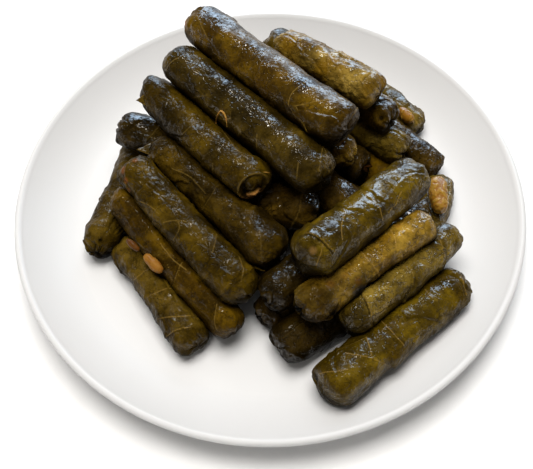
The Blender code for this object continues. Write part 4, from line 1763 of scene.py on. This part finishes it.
    def build(self) -> Object:
        """Raises the surface by its relief and makes the piece.

        The last millimetre under the top of the solids eases off, so nothing rises over
        it. From then on the surface's points are those of the finished skin.

        Returns:
            The finished piece.
        """
        relief = self.relief()
        points = (self.flat + self.normals * relief.lift[:, None]).reshape(*self.shape, 3)
        proud = np.maximum(points[..., 2] - self.CEILING + 1.0, 0)
        points[..., 2] += 1 - np.exp(-proud) - proud
        name = self.look.node + "_leaf"
        piece = closed_tube(name, points, np.stack([points[0].mean(0), points[-1].mean(0)]))
        oil = 0.06 + 0.94 * smooth(self.normals[:, 2], 0.0, 0.6)
        # The crease mask is painted shade, and the layer holds painted shade on the undersides as well
        # as leaf tones.
        masks = {"vein": np.clip(relief.vein, 0, 4), "rim": relief.rim, "crease_shade": relief.crease_shade,
                 "stain": relief.stain, "oil": oil, "layer": relief.layer}
        set_attributes(piece, {
            mask: np.concatenate([values, values.reshape(self.shape)[[0, -1]].mean(1)])
            for mask, values in masks.items()})
        leaf = self.look.finish.material(name, self.seed, self.look.gloss)
        piece.data.materials.append(leaf)
        self.flat = points.reshape(-1, 3)
        return piece


@dataclass(frozen=True)
class RiceCluster:
    """A lump of filling: an oval body covered with grains, sizes in millimetres.

    The grain is half as long as given, the slimness is its width by its length, and the
    sink is the share of its height at which a grain leaves the body.
    """

    node: str
    seed: int
    grain: float
    count: int
    height: float
    slimness: float = 0.42
    sink: float = 0.45
    waviness: float = 0.15
    pitch: float = 0.22

    def build(self) -> Object:
        """Makes the lump.

        The surface is the solid's smoothed surface, lifted by the highest grain mound.

        Returns:
            The finished piece.
        """
        skin = RollSurface(RollLook(self.node, OLIVE), self.seed, self.pitch)
        random = np.random.default_rng(self.seed)
        picks = random.integers(0, len(skin.flat), self.count)
        out = skin.normals[picks]
        first = unit(np.cross(out, random.normal(size=(self.count, 3))))
        second = np.cross(out, first)
        along, across, deep = (
            (skin.flat @ way.T - (skin.flat[picks] * way).sum(1)) / size
            for way, size in ((first, self.grain), (second, self.slimness * self.grain),
                              (out, self.grain)))
        mound = np.sqrt(np.clip(1 - along ** 2 - across ** 2 - 0.5 * deep ** 2, 0, 1)).max(1)
        lift = self.height * (mound - self.sink) + self.waviness * noise(skin.flat, 3.0, self.seed)
        points = (skin.flat + skin.normals * lift[:, None]).reshape(*skin.shape, 3)
        name = self.node + "_rice"
        piece = closed_tube(name, points, np.stack([points[0].mean(0), points[-1].mean(0)]))
        set_attributes(piece, {"grain": np.concatenate([mound, (0.0, 0.0)])})
        piece.data.materials.append(RICE.material(name, self.seed))
        return piece


@dataclass(frozen=True)
class Bean:
    """One smooth oval grain, as long as its solid and thicker by the swell."""

    node: str
    seed: int
    swell: float
    finish: FillingFinish
    rows: int = 60
    sides: int = 48
    last_angle: float = 1.54
    bluntness: float = 0.4
    waviness: float = 0.22
    wave_cell: float = 2.6

    def build(self) -> Object:
        """Makes the grain.

        Its half width at a share t of the half length is a low power of 1 - t^2, with a
        slow waviness. The rings lie closer towards the tips.

        Returns:
            The finished piece.
        """
        solid = PlainSolid(self.node)
        radius = sum(solid.radii) / 2 * self.swell
        share = np.sin(np.linspace(-self.last_angle, self.last_angle, self.rows))
        width = radius * (1 - share ** 2) ** self.bluntness
        way = spokes(full_turn(self.sides), solid.side, solid.up)[None]
        rings = solid.middle + (share * solid.half)[:, None, None] * solid.along
        rings = rings + width[:, None, None] * way
        rings = rings + self.waviness * noise(rings, self.wave_cell, self.seed)[..., None] * way
        tips = solid.middle + solid.half * np.array([[-1.0], [1.0]]) * solid.along
        name = self.node + "_grain"
        piece = closed_tube(name, rings, tips)
        set_attributes(piece, {"grain": np.ones(len(piece.data.vertices))})
        piece.data.materials.append(self.finish.material(name, self.seed))
        return piece


FILLINGS = (
    RiceCluster("filling_torn", 300, 2.2, 90, 0.30),
    RiceCluster("filling_back", 301, 1.5, 22, 0.5),
    Bean("filling_bean", 311, 1.25, BEAN),
    Bean("filling_scrap", 312, 1.0, SCRAP),
)


@dataclass(frozen=True)
class Thread:
    """A torn leaf thread that stands up from a roll: its course in the photograph."""

    name: str
    node: str
    line: tuple[Pixel, ...]
    radius: float = 0.32
    lift: float = 1.0
    clearance: float = 0.15
    thin: float = 0.35
    sides: int = 10
    rings: int = 4
    seed: int = 9

    def build(self, skin: RollSurface) -> Object:
        """Makes the thread as a thin closed tube over the skin.

        It rises off the skin and thickens with the sine of the share of its length.

        Args:
            skin: Surface of the roll that it lies on.

        Returns:
            The finished piece.
        """
        pixels = drawn(self.line)
        picks = skin.seen_at(pixels)
        normal = unit(skin.normals[picks].mean(0))
        share = np.linspace(0, 1, len(pixels))
        depths = softened(skin.flat[picks], SKIN_SOFTNESS)
        depths += normal * (self.clearance + self.lift * np.sin(math.pi * share[:, None]))
        course = CAMERA.points_beside(pixels, depths)
        fine = np.linspace(0, 1, self.rings * len(course))
        course = np.stack([np.interp(fine, share, course[:, k]) for k in range(3)], 1)
        way = unit(np.gradient(course, axis=0))
        side = unit(np.cross(way, normal))
        around = spokes(full_turn(self.sides), side[:, None], np.cross(side, way)[:, None])
        swell = np.sin(math.pi * np.clip(fine, 0.05, 0.95))
        taper = self.radius * (self.thin + (1 - self.thin) * swell)
        rings = course[:, None] + taper[:, None, None] * around
        piece = closed_tube(self.name, rings[:, ::-1], course[[0, -1]])
        set_attributes(piece, {"grain": np.ones(len(piece.data.vertices))})
        piece.data.materials.append(THREAD.material(self.name, self.seed))
        return piece


@dataclass(frozen=True)
class LeafTip:
    """A loose tip of a leaf: a small bent triangle standing off the roll."""

    name: str
    roots: tuple[Pixel, Pixel]
    tip: Pixel
    node: str
    finish: LeafFinish
    lift: float = 1.2
    thickness: float = 0.35
    rim_share: float = 0.15
    clearance: float = 0.1
    belly: float = 0.5
    ripple: float = 0.25
    ripple_cell: float = 1.8
    oil: float = 0.6
    no_vein: float = 4.0
    rows: int = 14
    columns: int = 12
    seed: int = 3

    def sheet(self, root_a: Array, root_b: Array, end: Array, normal: Array) -> Array:
        """The middle of the sheet.

        Across the root it runs straight, and towards the tip it narrows and lifts with
        the square of the share.

        Args:
            root_a: First corner on the roll.
            root_b: Second corner on the roll.
            end: The tip's place before it is lifted.
            normal: The way off the roll.

        Returns:
            Points, shape (rows, columns, 3).
        """
        share = np.linspace(0, 1, self.rows)[:, None, None]
        side = np.linspace(0, 1, self.columns)[None, :, None]
        flat = (root_a * (1 - side) + root_b * side) * (1 - share) + end * share
        belly = self.belly * np.sin(math.pi * side) * (1 - share)
        flat = flat + normal * (self.clearance + self.lift * share ** 2 + belly)
        return flat + self.ripple * noise(flat, self.ripple_cell, 5)[..., None] * normal

    def faces(self, turned: bool) -> Array:
        """Quads of the upper face, the lower face and the wall between them.

        Args:
            turned: Whether the sheet runs clockwise seen from above.

        Returns:
            Four corners of each face, pointing out.
        """
        total = self.rows * self.columns
        index = np.arange(total).reshape(self.rows, self.columns)
        quads = np.stack([index[:-1, :-1], index[:-1, 1:], index[1:, 1:], index[1:, :-1]], -1)
        quads = quads.reshape(-1, 4)
        loop = np.concatenate([index[0, :-1], index[:-1, -1], index[-1, :0:-1], index[:0:-1, 0]])
        after = np.roll(loop, -1)
        wall = np.stack([after, loop, loop + total, after + total], -1)
        if turned:
            quads = quads[:, ::-1]
            wall = wall[:, ::-1]
        return np.concatenate([quads, quads[:, ::-1] + total, wall])

    def build(self, skin: RollSurface) -> Object:
        """Makes the tip as a closed thin sheet, thinner towards its sides.

        Args:
            skin: Surface of the roll that it hangs on.

        Returns:
            The finished piece.
        """
        picks = skin.seen_at(self.roots)
        root_a, root_b = skin.flat[picks]
        end = CAMERA.points_beside(np.array([self.tip]), (root_a + root_b) / 2)[0]
        normal = unit(skin.normals[picks].mean(0))
        sheet = self.sheet(root_a, root_b, end, normal)
        side = np.linspace(0, 1, self.columns)[None, :, None]
        rim = 1 - np.clip(np.abs(2 * side - 1), 0, 1) ** 4
        thick = normal * self.thickness * (self.rim_share + (1 - self.rim_share) * rim) / 2
        points = np.concatenate([(sheet + thick).reshape(-1, 3), (sheet - thick).reshape(-1, 3)])
        faces = self.faces(np.cross(root_b - root_a, end - root_a) @ normal < 0)
        piece = make_object(self.name, points, faces, np.empty((0, 3), int))
        plain = np.zeros(len(piece.data.vertices))
        edge = np.tile((1 - rim * np.ones((self.rows, 1, 1))).ravel(), 2)
        set_attributes(piece, {"vein": plain + self.no_vein, "rim": edge, "crease_shade": plain,
                               "stain": plain, "oil": plain + self.oil, "layer": plain})
        piece.data.materials.append(self.finish.material(self.name, self.seed))
        return piece


LOOSE = (
    LeafTip("leaf_tip_top_back", ((289, 104), (297, 107)), (309, 132), "roll_top_back", GREY),
    LeafTip("leaf_tip_slope_dark", ((150, 141), (150, 155)), (138, 150), "roll_slope_dark", GREY,
            0.8),
    LeafTip("leaf_tip_open_end", ((144, 95), (147, 107)), (137, 100), "roll_open_end", GREY, 0.6),
    LeafTip("leaf_tip_torn", ((426, 196), (434, 220)), (406, 212), "roll_torn", BROWN, 0.8),
    LeafTip("leaf_tip_slope_green", ((252, 262), (273, 262)), (264, 272), "roll_slope_green",
            GREEN, 0.5),
    Thread("leaf_thread_top_front", "roll_top_front",
           ((216, 126), (216, 118), (221, 109), (226, 116), (227, 127)), 0.45, 0.8),
    Thread("leaf_thread_open_end", "roll_open_end", ((263, 172), (270, 173)), 0.3, 0.4),
)


@dataclass(frozen=True)
class LeafHeap:
    """All the rolls and what hangs on them, and the spacing of the skins' points."""

    pitch: float = 0.42
    hidden_pitch: float = 0.60
    quick_pitch: float = 0.9
    first_seed: int = 100
    seed_step: int = 17

    def build(self) -> None:
        """Makes each roll, its loose tips and threads, and then the filling."""
        for number, look in enumerate(LOOKS):
            pitch = self.hidden_pitch if look.hidden else self.pitch
            pitch = pitch
            skin = RollSurface(look, self.first_seed + self.seed_step * number, pitch)
            settle(skin.build(), look.node)
            for bit in LOOSE:
                if bit.node == look.node:
                    settle(bit.build(skin), look.node, stands_for=False)
        for filling in FILLINGS:
            settle(filling.build(), filling.node)


@dataclass(frozen=True)
class Plate:
    """The round plate: a flat well, a wall that curves up, and a rounded lip.

    The foot ring's corners are given outwards from each of its sides, with their heights.
    """

    radius: float = 119.9
    height: float = 20.9
    well: float = 91.0
    floor: float = 5.0
    foot: float = 65.0
    foot_width: float = 6.0
    foot_depth: float = 1.2
    foot_corner: tuple[Span, ...] = ((1.5, 1.2), (0.4, 0.35), (-0.8, 0.0))
    thickness: float = 3.8
    curve: float = 1.7
    lip: float = 2.0
    lip_turn: Span = (-60.0, 100.0)
    middle: float = 4.0
    margin: float = 6.0
    sides: int = 256

    def wall(self, radius: Array) -> Array:
        """Height of the upper face: flat in the well, then a power of the share of the wall."""
        share = np.clip((radius - self.well) / (self.radius - self.lip - self.well), 0, 1)
        return self.floor + (self.height - self.floor) * share ** self.curve

    def profile(self) -> Array:
        """The section from the middle below to the middle above.

        Returns:
            Radius and height of each point, shape (n, 2).
        """
        edge = self.radius - self.lip
        inner = self.foot - self.foot_width
        radii = self.well + (edge - self.well) * np.linspace(0, 1, 33)
        upper = np.stack([radii, self.wall(radii)], 1)
        slope = unit(np.gradient(upper, axis=0))
        under = upper + np.stack([slope[:, 1], -slope[:, 0]], 1) * self.thickness
        flat = np.linspace(self.foot + 3.0, self.well - self.margin, 6)
        below = np.interp(flat, [self.foot, self.well],
                          [self.foot_depth, self.floor - self.thickness])
        turn = np.radians(np.linspace(*self.lip_turn, 13))
        rim = np.stack([edge + self.lip * np.cos(turn),
                        self.height - self.lip + self.lip * np.sin(turn)], 1)
        corner = np.array(self.foot_corner)
        ring = np.concatenate([(inner, 0.0) + corner * (-1, 1),
                               (self.foot, 0.0) + corner[::-1]])
        centre = np.stack([np.linspace(self.middle, inner - self.margin, 6),
                           np.full(6, self.foot_depth)], 1)
        well = np.stack([np.linspace(self.well - self.margin, self.middle, 12),
                         np.full(12, self.floor)], 1)
        return np.concatenate([centre, ring, np.stack([flat, below], 1), under[2:-3], rim,
                               upper[-3:0:-1], well])

    def build(self) -> None:
        """Turns the section round the axis and dresses it."""
        section = self.profile()
        turn = full_turn(self.sides)
        radius = section[:, :1]
        rings = np.stack([radius * np.cos(turn), radius * np.sin(turn),
                          np.broadcast_to(section[:, 1:], (len(section), self.sides))], -1)
        tips = np.array([(0.0, 0.0, self.foot_depth), (0.0, 0.0, self.floor)])
        piece = closed_tube("plate_glazed", rings, tips)
        piece.data.materials.append(PorcelainFinish().material("porcelain_glaze"))
        settle(piece, "plate")


# The studio.

@dataclass(frozen=True)
class SoftLight:
    """A large square light: place and aim in metres, power in watts.

    A light that only shines is seen in gloss but doesn't brighten anything.
    """

    name: str
    place: tuple[float, float, float]
    aim: tuple[float, float, float]
    size: tuple[float, float]
    power: float
    colour: Colour
    shines: bool = False
    brightens: bool = True

    def build(self) -> None:
        """Makes the light, turned towards its aim."""
        data = bpy.data.lights.new(self.name, "AREA")
        data.shape = "RECTANGLE"
        data.size, data.size_y = self.size
        data.energy = self.power
        data.color = self.colour
        light = bpy.data.objects.new(self.name, data)
        back = unit(np.array(self.place) - np.array(self.aim))
        right = unit(np.cross((0.0, 0.0, 1.0), back))
        turn = Matrix(np.stack([right, np.cross(back, right), back], 1).tolist()).to_4x4()
        light.matrix_world = Matrix.Translation(self.place) @ turn
        light.visible_glossy = self.shines
        light.visible_diffuse = self.brightens
        bpy.context.collection.objects.link(light)


@dataclass(frozen=True)
class Studio:
    """Pale floor, soft lights and the camera."""

    lights: tuple[SoftLight, ...] = (
        SoftLight("window_shine", (0.55, 2.05, 0.92), (0.0, 0.0, 0.03), (2.5, 1.75), 130.0,
                  (0.55, 0.76, 1.0), True, False),
        SoftLight("spark_light", (-0.3, 0.8, 2.0), (0.0, 0.0, 0.03), (0.20, 0.20), 7.0,
                  (1.0, 0.95, 0.86), True, False),
        SoftLight("window_light", (0.3, 1.7, 1.7), (0.0, 0.0, 0.03), (2.0, 1.5), 14.0,
                  (0.90, 0.95, 1.0)),
        SoftLight("top_light", (-0.1, 0.2, 2.3), (0.0, 0.0, 0.0), (1.5, 1.2), 61.0,
                  (1.0, 0.975, 0.94)),
        SoftLight("front_fill", (-1.2, -1.7, 1.4), (0.0, 0.0, 0.03), (1.6, 1.2), 5.0,
                  (1.0, 0.96, 0.90)),
    )
    floor_size: float = 8.0
    floor: Colour = (0.935, 0.935, 0.935)
    floor_shade: Colour = (0.925, 0.925, 0.928)
    floor_roughness: float = 0.7
    air: Colour = (1.0, 0.98, 0.95)
    air_strength: float = 0.06

    def build_floor(self) -> None:
        """Makes the floor under the plate."""
        bpy.ops.mesh.primitive_plane_add(size=self.floor_size)
        floor = bpy.context.object
        floor.name = "pale_floor"
        material, made, shader = new_material("pale_floor")
        place = millimetre_place(made, (0.0, 0.0, 0.0))
        colour = made.mix(made.cloud(place, 0.004, 2.0), self.floor, self.floor_shade)
        made.feed(shader.inputs["Base Color"], colour)
        set_plain(shader, {"Roughness": self.floor_roughness})
        floor.data.materials.append(material)

    def build_air(self) -> None:
        """Makes the pale surroundings and shows colours as they are."""
        world = bpy.data.worlds.new("pale_air")
        world.use_nodes = True
        set_plain(world.node_tree.nodes["Background"],
                  {"Color": (*self.air, 1.0), "Strength": self.air_strength})
        scene = bpy.context.scene
        scene.world = world
        scene.view_settings.view_transform = "Standard"
        scene.view_settings.look = "None"

    def build(self) -> None:
        """Makes the camera, the floor, the lights and the surroundings."""
        CAMERA.build()
        self.build_floor()
        for light in self.lights:
            light.build()
        self.build_air()


def main() -> None:
    """Builds the studio, the plate and the heap."""
    logging.basicConfig(level=logging.INFO, format="%(name)s %(message)s")
    Studio().build()
    Plate().build()
    LeafHeap().build()


if __name__ == "__main__":
    main()
